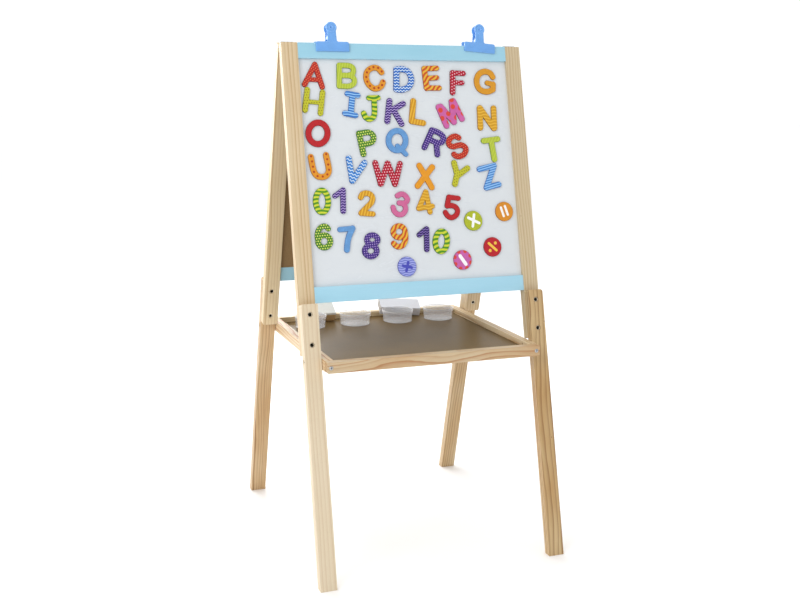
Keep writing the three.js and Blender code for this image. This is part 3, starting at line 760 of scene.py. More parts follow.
HINGE = metal("hinge_steel", (186, 188, 190), 0.32, brushed=(6, 0.5, 0.5))
for side, sg in (("front", -1), ("rear", 1)):
    for k, tag in ((-1, "left"), (1, "right")):
        dress("%s_hinge_leaf_%s" % (side, tag), HINGE, 0.25, 2, 40)
        vs, fs, fm = [], [], []
        for i, (dx, s) in enumerate(((-8.5, 17.5), (8.5, 17.5), (0, 10.5))):
            def placeh(a, b, w, dx=dx, s=s, k=k, sg=sg):
                return FR(sg, k * 257.5 + dx + a * sg, s - b, 0.25 - w)
            # the cross recess is painted near-black as painted shade
            o = turned("hinge_screw_%s_%s_%d" % (side, tag, i + 1),
                       [("circle", 0, -3.5), ("circle", 1.2, -3.2), ("circle", 1.3, -0.6), ("circle", 2.4, -0.02), ("circle", 2.2, 0.16), ("cross", 1.5, 0.18), ("cross", 1.1, -0.5), ("circle", 0, -0.7)],
                       placeh, [STEEL, RECESS_SHADE_METAL], 40, side + "_frame", 6)
for k, tag in ((-1, "left"), (1, "right")):
    x0 = k * 257.5 - 14
    def placep(a, b, w):
        return Vector((w, a, 1083 + b)) / 1000
    o = turned("hinge_pin_%s_turned" % tag, [("circle", 0, x0 - 0.4), ("circle", 1.0, x0 - 0.4), ("circle", 1.3, x0 - 0.1), ("circle", 1.3, x0 + 28.1), ("circle", 1.0, x0 + 28.4), ("circle", 0, x0 + 28.4)],
               placep, [STEEL], 32, "front_frame")
    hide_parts("hinge_pin_%s" % tag)

# ------------------------------------------------------------------ spring clips
CLIPBLUE = plastic("clip_blue_plastic", (108, 166, 232), 0.30)
for name, cx, drop, turn in (("left", -164, 22, 0.0), ("right", 178, 18, -4.5)):
    bottom = drop + 12 - 3.5
    zb, zt = -bottom, -bottom + 21
    zc = zb + 51.5
    tr = math.radians(-turn)
    # clip group: position (x, -12, 8.5), rotation about Y, inside the front frame group
    G = Matrix.Translation((0, 0, AXIS)) @ Matrix.Rotation(-TH, 4, "X") @ Matrix.Translation((cx / 1000, -0.012, 0.0085)) @ Matrix.Rotation(tr, 4, "Y")

    def clip_sdf(X, Y, zb=zb, zt=zt, zc=zc, up=0.0):
        zt = zt + up
        r = 4.0
        qx, qy = np.abs(X) - (36.5 - r), np.abs(Y - (zb + zt) / 2) - ((zt - zb) / 2 - r)
        jaw = -(np.hypot(np.maximum(qx, 0), np.maximum(qy, 0)) + np.minimum(np.maximum(qx, qy), 0) - r)
        # lower corners stay nearly square
        q2x, q2y = np.abs(X) - 35.5, np.abs(Y - (zb + 4)) - 3.0
        low = -(np.hypot(np.maximum(q2x, 0), np.maximum(q2y, 0)) + np.minimum(np.maximum(q2x, q2y), 0) - 1.0)
        jaw = np.maximum(jaw, low)
        wn = 9.4 + 0.8 * np.clip((Y - zc) / -20.0, 0, 1)
        neck = np.minimum(wn - np.abs(X), np.minimum(Y - (zb + 10), zc - Y + 4))
        disc = 12.0 - np.hypot(X, Y - zc)

        def smax(a, c, k):
            t = np.clip(0.5 + 0.5 * (a - c) / k, 0, 1)
            return c + (a - c) * t + k * t * (1 - t)
        return smax(smax(jaw, neck, 5.0), disc, 1.5)

    for o_, half in ((-1, "front"), (1, "rear")):
        face = (-(18 - 12) - 0.4) if o_ < 0 else (12 - (18 - 12) + 0.4)

        def lift(U, V, d, zb=zb, zt=zt, zc=zc, o_=o_):
            r = np.hypot(U, V - zc)
            inj = np.clip(1 - ((V - (zb + zt) / 2) / ((zt - zb) / 2)) ** 2, 0, 1) * (V < zt)
            top = (1.3 if o_ < 0 else 0.5) * inj
            # finger disc: raised rim, dished middle, boss round a dimple
            rimv = 0.9 * np.exp(-((r - 10.2) / 1.0) ** 2)
            boss = 1.0 * np.exp(-((r - 4.2) / 1.1) ** 2)
            hole = -1.5 * np.exp(-(r / 1.9) ** 4)
            dish = -0.6 * np.clip(1 - r / 9.5, 0, 1)
            k = np.clip((12.2 - r) / 1.0, 0, 1)
            ribs = 0.35 * np.exp(-((np.abs(U) - 6.6) / 0.9) ** 2) * np.clip((V - zt - 1) / 3, 0, 1) * np.clip((r - 12) / 1.5, 0, 1)
            return top + (rimv + boss + hole + dish) * k + ribs, np.zeros_like(top)

        vs, fs, kd, rd = sdf_plate(lambda X, Y: clip_sdf(X, Y, up=3.5 if o_ > 0 else 0.0), (-39, zb - 2), (39, zc + 14), 0.6, 3.0, 0.9, True, lift)
        out = []
        for u, v, w in vs:
            lean = -0.5 * min(max((v - zt) / (zc - zt), 0), 1.0)
            # the rear half is mirrored so its face looks inward
            x = u if o_ < 0 else -u
            out.append(G @ (Vector((x, face + o_ * (w + lean), v)) / 1000))
        # a finger lug each side down to the pivot
        def box_part(x0, x1, y0, y1, z0, z1, base):
            c = [(x0, y0, z0), (x1, y0, z0), (x1, y1, z0), (x0, y1, z0), (x0, y0, z1), (x1, y0, z1), (x1, y1, z1), (x0, y1, z1)]
            q = [[0, 3, 2, 1], [4, 5, 6, 7], [0, 1, 5, 4], [1, 2, 6, 5], [2, 3, 7, 6], [3, 0, 4, 7]]
            return [G @ (Vector(p) / 1000) for p in c], [[i + base for i in f] for f in q]
        inset = 7.3 if o_ < 0 else 4.9
        for a, b in ((-inset - 2, -inset), (inset, inset + 2)):
            # lug outline in (y, z): round at the pivot, wide at the jaw
            prof = [(3.0 * math.cos(t), 3.0 * math.sin(t)) for t in [math.pi / 2 + math.pi * i / 12 for i in range(13)]]
            ye = abs(face) + 1.0
            prof += [(ye, -4.2), (ye, 4.2)]
            prof = [(o_ * y, z) for y, z in prof]
            n0 = len(out)
            m_ = len(prof)
            for xx in (a, b):
                for y, z in prof:
                    out.append(G @ (Vector((xx, y, z)) / 1000))
            flip = o_ > 0
            lo_f = [n0 + i for i in range(m_)]
            hi_f = [n0 + m_ + i for i in range(m_)]
            # start profile runs counter-clockwise seen from +x when o_ > 0 is mirrored
            fs.append(lo_f if not flip else lo_f[::-1]); kd.append(1)
            fs.append(hi_f[::-1] if not flip else hi_f); kd.append(1)
            for i in range(m_):
                j = (i + 1) % m_
                q = [n0 + i, n0 + m_ + i, n0 + m_ + j, n0 + j]
                fs.append(q if not flip else q[::-1]); kd.append(1)
        # the mirror in x and the inward facing of the rear half cancel
        body = "clip_%s" % name if o_ > 0 else "clip_%s_jaw" % name
        ob = new_obj("clip_%s_%s_grip" % (name, half), out, fs, [CLIPBLUE], None, True, body, 40)
        import bmesh
        bm = bmesh.new(); bm.from_mesh(ob.data); bmesh.ops.recalc_face_normals(bm, faces=bm.faces); bm.to_mesh(ob.data); bm.free()
        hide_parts("clip_%s_%s_jaw" % (name, half))

    def placec(a, b, w, G=G):
        return G @ (Vector((w, a, b)) / 1000)
    o = turned("clip_%s_pivot_pin" % name, [("circle", 0, -9.8), ("circle", 1.0, -9.8), ("circle", 1.2, -9.6), ("circle", 1.2, 9.6), ("circle", 1.0, 9.8), ("circle", 0, 9.8)], placec, [STEEL], 32, "clip_" + name)
    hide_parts("clip_%s_pin" % name)
    pts = [(-4.3, -5.4, 3.2), (-4.3, -3.5, 2.75)]
    N_ = 8
    for i in range(N_ * 16 + 1):
        a = math.pi / 2 + 2 * math.pi * i / 16
        pts.append((-4.3 + 8.6 * i / (N_ * 16), 2.25 * math.cos(a), 2.25 * math.sin(a)))
    pts += [(4.3, 3.5, 2.75), (4.3, 5.4, 3.2)]
    tv, tf = tube([G @ (Vector(p) / 1000) for p in pts], 0.00042, 8)
    o = new_obj("clip_%s_torsion_spring" % name, tv, tf, [STEEL], None, True, "clip_" + name, 60)
    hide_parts("clip_%s_spring" % name)

# ------------------------------------------------------------------ cups
FROST = frosted("frosted_polypropylene")
FRIM = frosted("frosted_polypropylene_rim", 0.58)
for i, (x, y) in enumerate(((-161.5, 148), (-51.9, 146), (56, 145), (160.8, 143))):
    def placek(a, b, w, x=x, y=y):
        return Vector((x + a, y + b, 438.3 + w)) / 1000
    c = "circle"
    rings = [(c, 0, 0.5), (c, 31.5, 0.5), (c, 32.2, 0.0), (c, 33.6, 0.0), (c, 34.3, 0.35), (c, 34.6, 1.1), (c, 35.1, 9.0), (c, 35.6, 17.5), (c, 35.9, 18.6),
             (c, 36.5, 19.3), (c, 37.15, 19.8), (c, 37.3, 20.6), (c, 37.4, 24.6), (c, 37.5, 25.8), (c, 37.45, 26.6), (c, 37.0, 27.0), (c, 36.4, 26.95), (c, 36.15, 26.4),
             (c, 36.1, 20.9), (c, 35.7, 20.3), (c, 35.0, 19.9), (c, 34.5, 19.0), (c, 34.2, 17.0), (c, 33.6, 3.2), (c, 32.9, 1.9), (c, 31.0, 1.5), (c, 0, 1.5)]
    o = turned("cup_%d_moulded" % (i + 1), rings, placek, [FROST, FRIM], 96, "cup_%d" % (i + 1), {1, 2, 3, 4, 13, 14, 15, 16, 17}, 70)
    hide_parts("cup_%d" % (i + 1))

# ------------------------------------------------------------------ eraser and card box
te = math.radians(32)
E2W = Matrix.Translation((-0.110, 0.1886, 0.4383)) @ Matrix.Rotation(te, 4, "X")
W2E = E2W.inverted()
dress("eraser_block", pine("pine_eraser", W2E, "y", (-30, -26), 3.9, 2.6, (226, 200, 150), (178, 134, 82), (214, 176, 120), 1.25, 0.004, 4, endk=0.9), 1.2)


def eraser_felt():
    nx, ny, nz = 42, 38, 6
    verts, faces, key = [], [], {}
    rng = np.random.default_rng(7)
    fz = {}

    def vert(i, j, k):
        kk = (i, j, k)
        if kk not in key:
            u, v, w = i / nx, j / ny, k / nz
            x, y, z = -21 + 42 * u, 38 * v, 20.3 + 5.7 * w
            # rounded arrises, slightly crowned top and a fuzzy surface
            ex, ey = min(u, 1 - u) * 42, min(v, 1 - v) * 38
            if k == nz:
                z -= 1.3 * (max(0, 1 - ex / 2.2) ** 2 + max(0, 1 - ey / 2.2) ** 2)
            if k == nz or i in (0, nx) or j in (0, ny):
                jit = rng.normal(0, 0.16, 3)
            else:
                jit = (0, 0, 0)
            if k == 0:
                jit = (0, 0, 0)
            px, py = x + jit[0], y + jit[1]
            if k > 0:
                px = max(-20.9, min(20.9, px))
                py = max(0.1, min(37.9, py))
            key[kk] = len(verts)
            verts.append(E2W @ (Vector((px, py, min(z + jit[2], 26.0))) / 1000))
        return key[kk]
    for i in range(nx):
        for j in range(ny):
            faces.append([vert(i, j, nz), vert(i + 1, j, nz), vert(i + 1, j + 1, nz), vert(i, j + 1, nz)])
            faces.append([vert(i, j, 0), vert(i, j + 1, 0), vert(i + 1, j + 1, 0), vert(i + 1, j, 0)])
    for i in range(nx):
        for k in range(nz):
            faces.append([vert(i, 0, k), vert(i + 1, 0, k), vert(i + 1, 0, k + 1), vert(i, 0, k + 1)])
            faces.append([vert(i + 1, ny, k), vert(i, ny, k), vert(i, ny, k + 1), vert(i + 1, ny, k + 1)])
    for j in range(ny):
        for k in range(nz):
            faces.append([vert(0, j + 1, k), vert(0, j, k), vert(0, j, k + 1), vert(0, j + 1, k + 1)])
            faces.append([vert(nx, j, k), vert(nx, j + 1, k), vert(nx, j + 1, k + 1), vert(nx, j, k + 1)])
    o = new_obj("eraser_felt_pad", verts, faces, [felt_mat("white_felt")], None, True, "eraser", 50)
    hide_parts("eraser_felt")


eraser_felt()

B2W = Matrix.Translation((0.0819, 0.2012, 0.4596)) @ (Matrix.Rotation(math.radians(-9), 4, "Z") @ Matrix.Rotation(math.radians(4), 4, "Y") @ Matrix.Rotation(math.radians(25), 4, "X"))
W2B = B2W.inverted()


def card_box():
    import bmesh
    M1 = card_mat("white_card", W2B)
    # the chalk ends are grey-beige, darker than the card: painted shade for the box's shaded left end
    M2 = Mat("chalk_ends_painted_shade", Roughness=0.9)
    P = local_mm(M2, W2B)
    nn = M2.noise(P, 1.3, 4.0, 0.7)
    M2.set("Base Color", M2.mix(M2.fit(nn, 0.3, 0.7), lin((168, 160, 148)), lin((200, 194, 184))))
    M2.set("Normal", M2.bump(nn, 0.3, 0.0004))
    bm = bmesh.new()

    def brick(x0, x1, y0, y1, z0, z1, mi=0, bev=0.35):
        r = bmesh.ops.create_cube(bm, size=1)
        for v in r["verts"]:
            v.co = Vector(((x0 + x1) / 2 + v.co.x * (x1 - x0), (y0 + y1) / 2 + v.co.y * (y1 - y0), (z0 + z1) / 2 + v.co.z * (z1 - z0)))
        es = list({e for v in r["verts"] for e in v.link_edges})
        out = bmesh.ops.bevel(bm, geom=es, offset=bev, segments=3, profile=0.5, affect="EDGES")
        fs = set(out["faces"]) | {f for v in r["verts"] if v.is_valid for f in v.link_faces}
        for f in fs:
            f.material_index = mi
            f.smooth = False

    t = 0.5
    # sleeve with lapped seam, an open left end with a tray of chalk ends just inside, tucked right end; the chalk ends
    # carry painted shade for the shaded left end
    brick(-49.6, 49.4, -19.0 + 0.02, 19.0 - 0.02, 10.5 - t, 10.5, 0, 0.18)      # top
    brick(-49.6, 49.4, -19.0 + 0.02, 19.0 - 0.02, -10.5, -10.5 + t, 0, 0.18)    # bottom
    brick(-49.6, 49.4, -19.0, -19.0 + t, -10.5, 10.5, 0, 0.18)                  # front
    brick(-49.6, 49.4, 19.0 - t, 19.0, -10.5, 10.5, 0, 0.18)                    # back
    brick(49.3, 49.8, -18.6, 18.6, -10.2, 10.2, 0, 0.18)                        # right flap
    brick(49.2, 49.95, -18.2, 18.2, 5.2, 9.9, 0, 0.3)                           # tuck tab edge
    brick(-49.0, 48.0, -18.3, 18.3, -9.8, 9.8, 0, 0.8)                          # inner tray body
    for i in range(6):                                                          # chalk ends
        for j in range(2):
            r = bmesh.ops.create_cone(bm, cap_ends=True, cap_tris=False, segments=20, radius1=2.75, radius2=2.9, depth=3.0)
            fs = {f for v in r["verts"] for f in v.link_faces}
            for v in r["verts"]:
                c = v.co.copy()
                v.co = Vector((-49.2 - c.z * 0.5, -15.2 + 6.08 * i + c.x, -4.6 + 9.2 * j + c.y))
            for f in fs:
                f.material_index = 1
                f.smooth = len(f.verts) == 4
    bmesh.ops.recalc_face_normals(bm, faces=bm.faces)
    me = bpy.data.meshes.new("chalk_box_card")
    for v in bm.verts:
        v.co = B2W @ (v.co / 1000)
    bm.to_mesh(me)
    bm.free()
    me.materials.append(M1.m if isinstance(M1, Mat) else M1)
    me.materials.append(M2.m)
    o = bpy.data.objects.new("chalk_box_card", me)
    bpy.context.scene.collection.objects.link(o)
    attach(o, "chalk_box")
    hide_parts("chalk_box")


card_box()


# ------------------------------------------------------------------ play magnets on the white board
# Each row: name, print, strokes [half width, kind, points (x, s) in mm], printed spots [radius, points].
GLYPHS = [
    ['A','red_dots', [[5.76,0, [[-203.5,48.5], [-228.6,90.9]]], [5.81,0, [[-203.5,48.5], [-190.7,96.0]]], [4.79,0, [[-220.9,80.2], [-195.0,81.4]]]], []],
    ['B','lime_lines', [[5.76,0, [[-149.9,49.5], [-153.1,93.8]]], [5.63,1, [[-149.9,49.5], [-129.9,49.9], [-120.9,53.7], [-119.1,60.6], [-121.9,67.5], [-131.5,70.8], [-151.4,71.0]]], [5.62,1, [[-151.4,71.0], [-130.6,71.2], [-120.6,75.7], [-118.3,82.5], [-121.7,89.7], [-132.3,94.1], [-153.1,93.6]]]], []],
    ['C','orange_spots', [[6.18,1, [[-55.6,63.6], [-62.9,55.7], [-73.1,53.6], [-83.3,57.7], [-89.3,64.7], [-91.5,74.1], [-90.0,83.9], [-84.4,92.8], [-75.0,98.8], [-65.6,97.6], [-57.9,92.6], [-54.2,84.8]]]], [2.45, [[-55.7,62.0], [-63.3,54.4], [-73.8,52.9], [-83.2,56.7], [-89.5,64.4], [-91.6,74.3], [-90.0,84.1], [-84.7,93.3], [-75.5,98.1], [-65.6,97.4], [-57.1,91.4], [-53.2,82.6]]]],
    ['D','blue_waves', [[6.58,0, [[-21.2,56.7], [-24.6,100.1]]], [6.43,1, [[-21.2,56.7], [-6.1,56.2], [5.7,61.6], [11.3,73.5], [10.7,84.1], [3.9,94.6], [-8.5,100.2], [-24.6,100.1]]]], []],
    ['E','tiger', [[6.41,0, [[43.8,54.6], [46.2,96.8]]], [5.65,0, [[43.8,54.3], [73.3,52.9]]], [5.51,0, [[44.7,75.8], [71.8,73.9]]], [5.64,0, [[46.2,96.8], [75.9,96.6]]]], []],
    ['F','crimson_dots', [[6.36,0, [[110.1,63.1], [106.8,106.4]]], [5.73,0, [[110.1,63.1], [136.0,63.8]]], [5.44,0, [[110.0,84.7], [131.4,84.8]]]], []],
    ['G','gold', [[6.45,1, [[206.9,71.0], [201.1,62.5], [188.5,59.0], [175.5,63.7], [168.2,74.0], [166.8,85.8], [171.2,96.9], [180.7,103.0], [193.6,103.7], [204.9,99.3]]], [6.5,0, [[204.9,99.3], [206.2,87.8]]], [5.65,0, [[205.9,87.6], [192.1,84.5]]]], []],
    ['H','lime_dots', [[6.01,0, [[-223.7,102.2], [-231.4,144.8]]], [5.87,0, [[-190.8,107.8], [-198.5,151.7]]], [4.6,0, [[-227.0,126.7], [-195.2,129.7]]]], []],
    ['I','blue_lines', [[5.81,0, [[-136.3,109.9], [-113.2,113.8]]], [5.79,0, [[-144.6,151.7], [-121.2,156.5]]], [6.34,0, [[-125.0,111.8], [-132.0,153.8]]]], []],
    ['J','green_stripes', [[5.59,0, [[-88.7,119.0], [-67.9,118.6]]], [5.87,1, [[-77.3,119.4], [-77.4,134.2], [-78.4,151.0], [-81.8,160.3], [-90.9,164.5], [-98.9,160.8], [-102.7,152.1]]]], []],
    ['K','purple_waves', [[6.42,0, [[-42.4,125.4], [-50.7,168.8]]], [6.13,0, [[-11.5,131.3], [-40.6,146.1]]], [6.16,0, [[-35.6,143.1], [-18.4,175.2]]]], []],
    ['L','gold_lines', [[6.6,0, [[12.4,125.8], [5.5,169.2]]], [6.43,0, [[5.5,169.2], [31.9,173.5]]]], []],
    ['M','pink_spots', [[6.58,0, [[70.7,138.8], [86.2,179.4]]], [6.88,0, [[75.6,137.9], [104.5,171.1]]], [6.75,0, [[104.5,171.1], [102.6,126.7]]], [6.64,0, [[106.6,125.4], [124.1,164.4]]]], [5.53, [[99.3,126.2], [78.7,136.9], [73.8,154.3], [92.2,151.1], [109.2,141.8], [105.3,166.1], [84.7,167.8], [85.7,182.3], [124.4,164.7], [113.8,127.1], [123.8,151.8]]]],
    ['N','gold_waves', [[6.56,0, [[168.9,141.4], [167.2,184.2]]], [6.88,0, [[169.6,141.0], [199.7,185.3]]], [6.61,0, [[202.8,141.5], [201.3,185.1]]]], []],
    ['O','red_specks', [[6.46,2, [[-186.2,195.1], [-187.4,200.1], [-189.5,204.8], [-192.5,209.0], [-196.3,212.3], [-200.5,214.8], [-205.1,216.2], [-209.8,216.4], [-214.3,215.6], [-218.4,213.7], [-222.0,210.7], [-224.8,207.0], [-226.7,202.6], [-227.6,197.7], [-227.5,192.7], [-226.4,187.8], [-224.3,183.1], [-221.3,179.0], [-217.6,175.6], [-213.3,173.1], [-208.7,171.7], [-204.1,171.4], [-199.5,172.2], [-195.4,174.1], [-191.8,177.0], [-189.0,180.8], [-187.0,185.2], [-186.1,190.1], [-186.2,195.1]]]], []],
    ['P','green_dots', [[6.35,0, [[-116.6,195.1], [-109.9,239.0]]], [5.95,1, [[-116.8,195.1], [-106.2,193.7], [-95.8,192.7], [-87.0,197.1], [-84.5,205.0], [-88.8,213.1], [-98.8,217.0], [-112.7,219.1]]]], []],
    ['Q','sky', [[6.33,2, [[-12.1,211.2], [-12.9,215.8], [-14.7,220.2], [-17.4,224.2], [-20.7,227.5], [-24.6,229.9], [-28.9,231.4], [-33.2,231.8], [-37.5,231.3], [-41.5,229.7], [-45.0,227.1], [-47.8,223.8], [-49.8,219.8], [-50.9,215.4], [-51.0,210.8], [-50.2,206.2], [-48.4,201.8], [-45.8,197.8], [-42.5,194.6], [-38.6,192.1], [-34.4,190.6], [-30.0,190.1], [-25.7,190.6], [-21.7,192.2], [-18.1,194.7], [-15.3,198.1], [-13.3,202.1], [-12.2,206.5], [-12.1,211.2]]], [5.35,0, [[-31.6,222.9], [-13.7,240.7]]]], []],
    ['R','purple_check', [[6.34,0, [[51.1,189.1], [30.5,226.2]]], [6.27,1, [[51.1,189.1], [64.7,194.0], [74.1,200.9], [76.4,209.4], [70.2,216.3], [59.9,216.1], [43.6,209.5]]], [6.38,0, [[59.2,216.1], [59.4,242.3]]]], []],
    ['S','red_dots', [[6.18,1, [[112.9,206.3], [105.4,203.0], [95.7,205.5], [88.7,213.6], [89.7,222.3], [98.3,225.6], [108.1,223.6], [117.9,222.4], [126.5,227.4], [127.8,234.7], [121.4,243.6], [109.9,247.5], [102.3,245.8], [98.8,242.6]]]], []],
    ['T','lime_lines', [[6.16,0, [[172.2,213.8], [207.0,210.0]]], [6.71,0, [[190.7,214.0], [195.3,254.7]]]], []],
    ['U','orange_spots', [[6.37,1, [[-226.1,243.4], [-224.6,256.8], [-221.9,272.4], [-216.2,282.1], [-207.8,285.5], [-198.5,284.7], [-191.3,278.8], [-188.8,269.9], [-190.5,255.3], [-192.8,239.8]]]], [2.33, [[-225.9,242.2], [-224.5,252.9], [-223.3,263.9], [-221.9,274.8], [-214.7,283.7], [-203.7,284.8], [-193.2,280.8], [-188.7,271.0], [-189.9,260.0], [-191.3,248.8], [-192.7,238.0]]]],
    ['V','sky_waves', [[6.4,0, [[-143.4,247.4], [-138.8,295.0]]], [6.46,0, [[-138.8,295.0], [-109.0,257.8]]]], []],
    ['W','crimson_dots', [[6.38,0, [[-85.1,258.4], [-75.7,302.7]]], [6.76,0, [[-75.7,302.7], [-57.0,260.2]]], [6.77,0, [[-57.0,260.2], [-43.4,303.8]]], [6.35,0, [[-43.4,303.8], [-29.1,261.3]]]], []],
    ['X','amber', [[6.47,0, [[15.3,266.0], [40.5,313.4]]], [6.43,0, [[45.0,269.7], [8.0,309.5]]]], []],
    ['Y','lime_dots', [[6.43,0, [[97.3,261.3], [102.6,286.5]]], [6.43,0, [[128.3,273.5], [103.4,289.6]]], [6.56,0, [[102.7,285.8], [95.6,307.5]]]], []],
    ['Z','blue_lines_z', [[6.27,0, [[157.1,276.2], [192.7,269.2]]], [6.66,0, [[192.7,269.2], [170.9,317.1]]], [6.27,0, [[170.6,317.3], [201.1,311.0]]]], []],
    ['n0','green_stripes0', [[5.95,2, [[-195.0,336.5], [-195.5,341.5], [-196.7,346.4], [-198.5,350.7], [-200.8,354.3], [-203.4,357.0], [-206.3,358.7], [-209.4,359.3], [-212.3,358.7], [-215.1,357.0], [-217.6,354.3], [-219.6,350.7], [-221.0,346.4], [-221.8,341.6], [-222.0,336.6], [-221.5,331.5], [-220.3,326.7], [-218.6,322.4], [-216.3,318.8], [-213.7,316.1], [-210.7,314.4], [-207.7,313.8], [-204.7,314.3], [-201.9,316.0], [-199.5,318.7], [-197.5,322.3], [-196.0,326.6], [-195.2,331.4], [-195.0,336.5]]]], []],
    ['n1','purple_waves', [[5.49,0, [[-179.6,326.1], [-161.6,314.8]]], [5.91,0, [[-161.0,314.3], [-163.7,358.2]]]], []],
    ['n2','gold_lines', [[6.01,1, [[-122.9,330.4], [-118.2,323.8], [-109.0,322.1], [-100.1,325.7], [-96.7,333.6], [-100.3,342.6], [-111.3,352.4], [-124.3,363.8]]], [5.56,0, [[-124.3,364.0], [-98.1,366.6]]]], []],
    ['n3','pink_mottle', [[5.73,1, [[-40.0,329.4], [-32.0,326.2], [-24.1,328.2], [-18.0,336.3], [-20.6,342.9], [-27.5,345.9], [-37.2,344.9]]], [5.71,1, [[-28.9,346.1], [-24.1,353.1], [-24.7,361.9], [-32.0,369.2], [-42.1,369.1], [-49.6,362.4], [-51.7,354.0]]]], []],
    ['n4','gold_waves', [[5.76,0, [[25.5,323.0], [6.9,358.1]]], [5.67,0, [[6.9,358.1], [38.3,354.2]]], [5.79,0, [[25.8,323.0], [32.2,366.3]]]], []],
    ['n5','red_specks', [[5.46,0, [[101.0,339.1], [78.8,335.7]]], [5.71,0, [[78.8,335.7], [73.1,354.6]]], [5.74,1, [[73.1,354.6], [83.8,354.2], [93.2,358.1], [97.0,366.1], [92.9,375.3], [81.9,380.4], [72.9,376.6], [68.0,368.8]]]], []],
    ['n6','green_dots', [[5.82,2, [[-196.5,420.3], [-197.0,423.2], [-198.2,425.9], [-199.9,428.2], [-202.2,430.2], [-204.8,431.6], [-207.7,432.4], [-210.6,432.6], [-213.6,432.2], [-216.3,431.1], [-218.7,429.5], [-220.6,427.3], [-222.0,424.8], [-222.8,422.1], [-222.9,419.2], [-222.4,416.3], [-221.2,413.7], [-219.4,411.3], [-217.2,409.3], [-214.6,407.9], [-211.7,407.1], [-208.8,406.9], [-205.9,407.3], [-203.1,408.4], [-200.7,410.0], [-198.8,412.1], [-197.4,414.7], [-196.6,417.4], [-196.5,420.3]]], [5.51,1, [[-222.9,419.2], [-223.7,408.4], [-221.4,398.4], [-215.3,390.9], [-208.2,388.3], [-202.0,390.3], [-199.0,394.0]]]], []],
    ['n7','sky', [[5.49,0, [[-173.8,396.7], [-146.2,395.2]]], [6.23,1, [[-145.9,395.2], [-152.7,407.0], [-158.2,420.6], [-161.6,439.5]]]], []],
    ['n8','purple_check', [[5.85,2, [[-91.8,421.3], [-92.2,423.4], [-93.3,425.4], [-94.9,427.2], [-96.9,428.6], [-99.3,429.7], [-102.0,430.3], [-104.7,430.4], [-107.4,430.1], [-109.9,429.2], [-112.1,428.0], [-113.9,426.4], [-115.2,424.5], [-115.9,422.4], [-116.1,420.3], [-115.6,418.1], [-114.6,416.1], [-113.0,414.3], [-110.9,412.9], [-108.6,411.8], [-105.9,411.2], [-103.2,411.1], [-100.5,411.4], [-98.0,412.3], [-95.8,413.5], [-94.0,415.1], [-92.6,417.0], [-91.9,419.1], [-91.8,421.3]]], [5.95,2, [[-95.6,444.8], [-96.2,447.4], [-97.3,449.8], [-99.1,451.9], [-101.4,453.6], [-104.0,454.9], [-106.9,455.6], [-109.9,455.8], [-112.9,455.3], [-115.6,454.4], [-118.1,452.9], [-120.0,450.9], [-121.5,448.7], [-122.3,446.2], [-122.4,443.6], [-121.9,441.1], [-120.7,438.7], [-118.9,436.5], [-116.7,434.8], [-114.0,433.5], [-111.2,432.8], [-108.2,432.6], [-105.2,433.1], [-102.4,434.0], [-100.0,435.5], [-98.0,437.5], [-96.6,439.7], [-95.8,442.2], [-95.6,444.8]]]], []],
    ['n9','tiger', [[5.8,2, [[-28.8,406.7], [-29.4,409.4], [-30.6,412.0], [-32.4,414.2], [-34.7,416.1], [-37.3,417.4], [-40.2,418.2], [-43.3,418.4], [-46.2,418.0], [-49.0,417.0], [-51.4,415.4], [-53.4,413.4], [-54.8,411.0], [-55.6,408.4], [-55.7,405.7], [-55.2,403.0], [-54.0,400.4], [-52.2,398.2], [-49.9,396.3], [-47.3,395.0], [-44.4,394.2], [-41.3,394.0], [-38.4,394.4], [-35.6,395.4], [-33.2,396.9], [-31.2,399.0], [-29.7,401.3], [-28.9,404.0], [-28.8,406.7]]], [5.82,1, [[-28.8,406.7], [-28.1,415.8], [-29.8,426.3], [-36.6,435.7], [-46.2,438.1], [-53.0,435.0], [-56.5,430.6]]]], []],
    ['n1b','violet_waves', [[5.64,0, [[3.0,414.9], [20.4,402.8]]], [6.02,0, [[21.1,402.9], [18.2,446.6]]]], []],
    ['n0b','green_stripes', [[6.05,2, [[67.0,432.2], [65.9,437.0], [64.2,441.4], [61.9,445.4], [59.1,448.5], [56.1,450.8], [52.9,452.1], [49.7,452.3], [46.8,451.4], [44.1,449.5], [41.9,446.6], [40.2,443.0], [39.2,438.7], [38.9,434.1], [39.3,429.2], [40.4,424.5], [42.2,420.0], [44.5,416.1], [47.2,412.9], [50.2,410.6], [53.4,409.3], [56.6,409.1], [59.6,410.0], [62.3,411.9], [64.5,414.7], [66.2,418.4], [67.2,422.7], [67.5,427.3], [67.0,432.2]]]], []],
]
DISCS = [
    ['times', [132.4,389.1],21.6, [[[134.9,375.8], [129.8,401.3],2.52], [[120.3,382.2], [145.6,394.7],2.52]], []],
    ['equals', [208.8,371.3],21.4, [[[200.9,362.6], [206.4,381.5],2.22], [[211.0,359.7], [216.6,378.6],2.22]], []],
    ['divide', [173.8,448.1],21.3, [[[165.1,440.0], [182.1,455.8],2.37]], [[[180.8,439.9],3.22], [[166.9,455.9],3.22]]],
    ['minus', [99.9,473.1],21.3, [[[94.2,464.5], [106.3,482.6],2.66]], []],
    ['plus', [-30.1,481.3],21.1, [[[-39.7,479.0], [-20.4,483.7],2.56], [[-27.3,472.5], [-32.8,490.2],2.56]], []],
]

MAG_D, MAG_T = 11.05, 3.2


def uv_of(M, cx, cs, ang):
    """Print coordinates on the board plane, mm, turned by ang degrees about the magnet's middle."""
    c = FR(-1, cx, cs, 14.0)
    R = Matrix.Rotation(math.radians(ang), 3, "Y") @ Matrix.Rotation(TH, 3, "X")
    e = R.to_euler("XYZ")
    P = M.map(M.coord(), loc=tuple(-(R @ c) * 1000), rot=tuple(e), scale=(1000, 1000, 1000))
    x, y, z = M.sep(P)
    return P, x, z


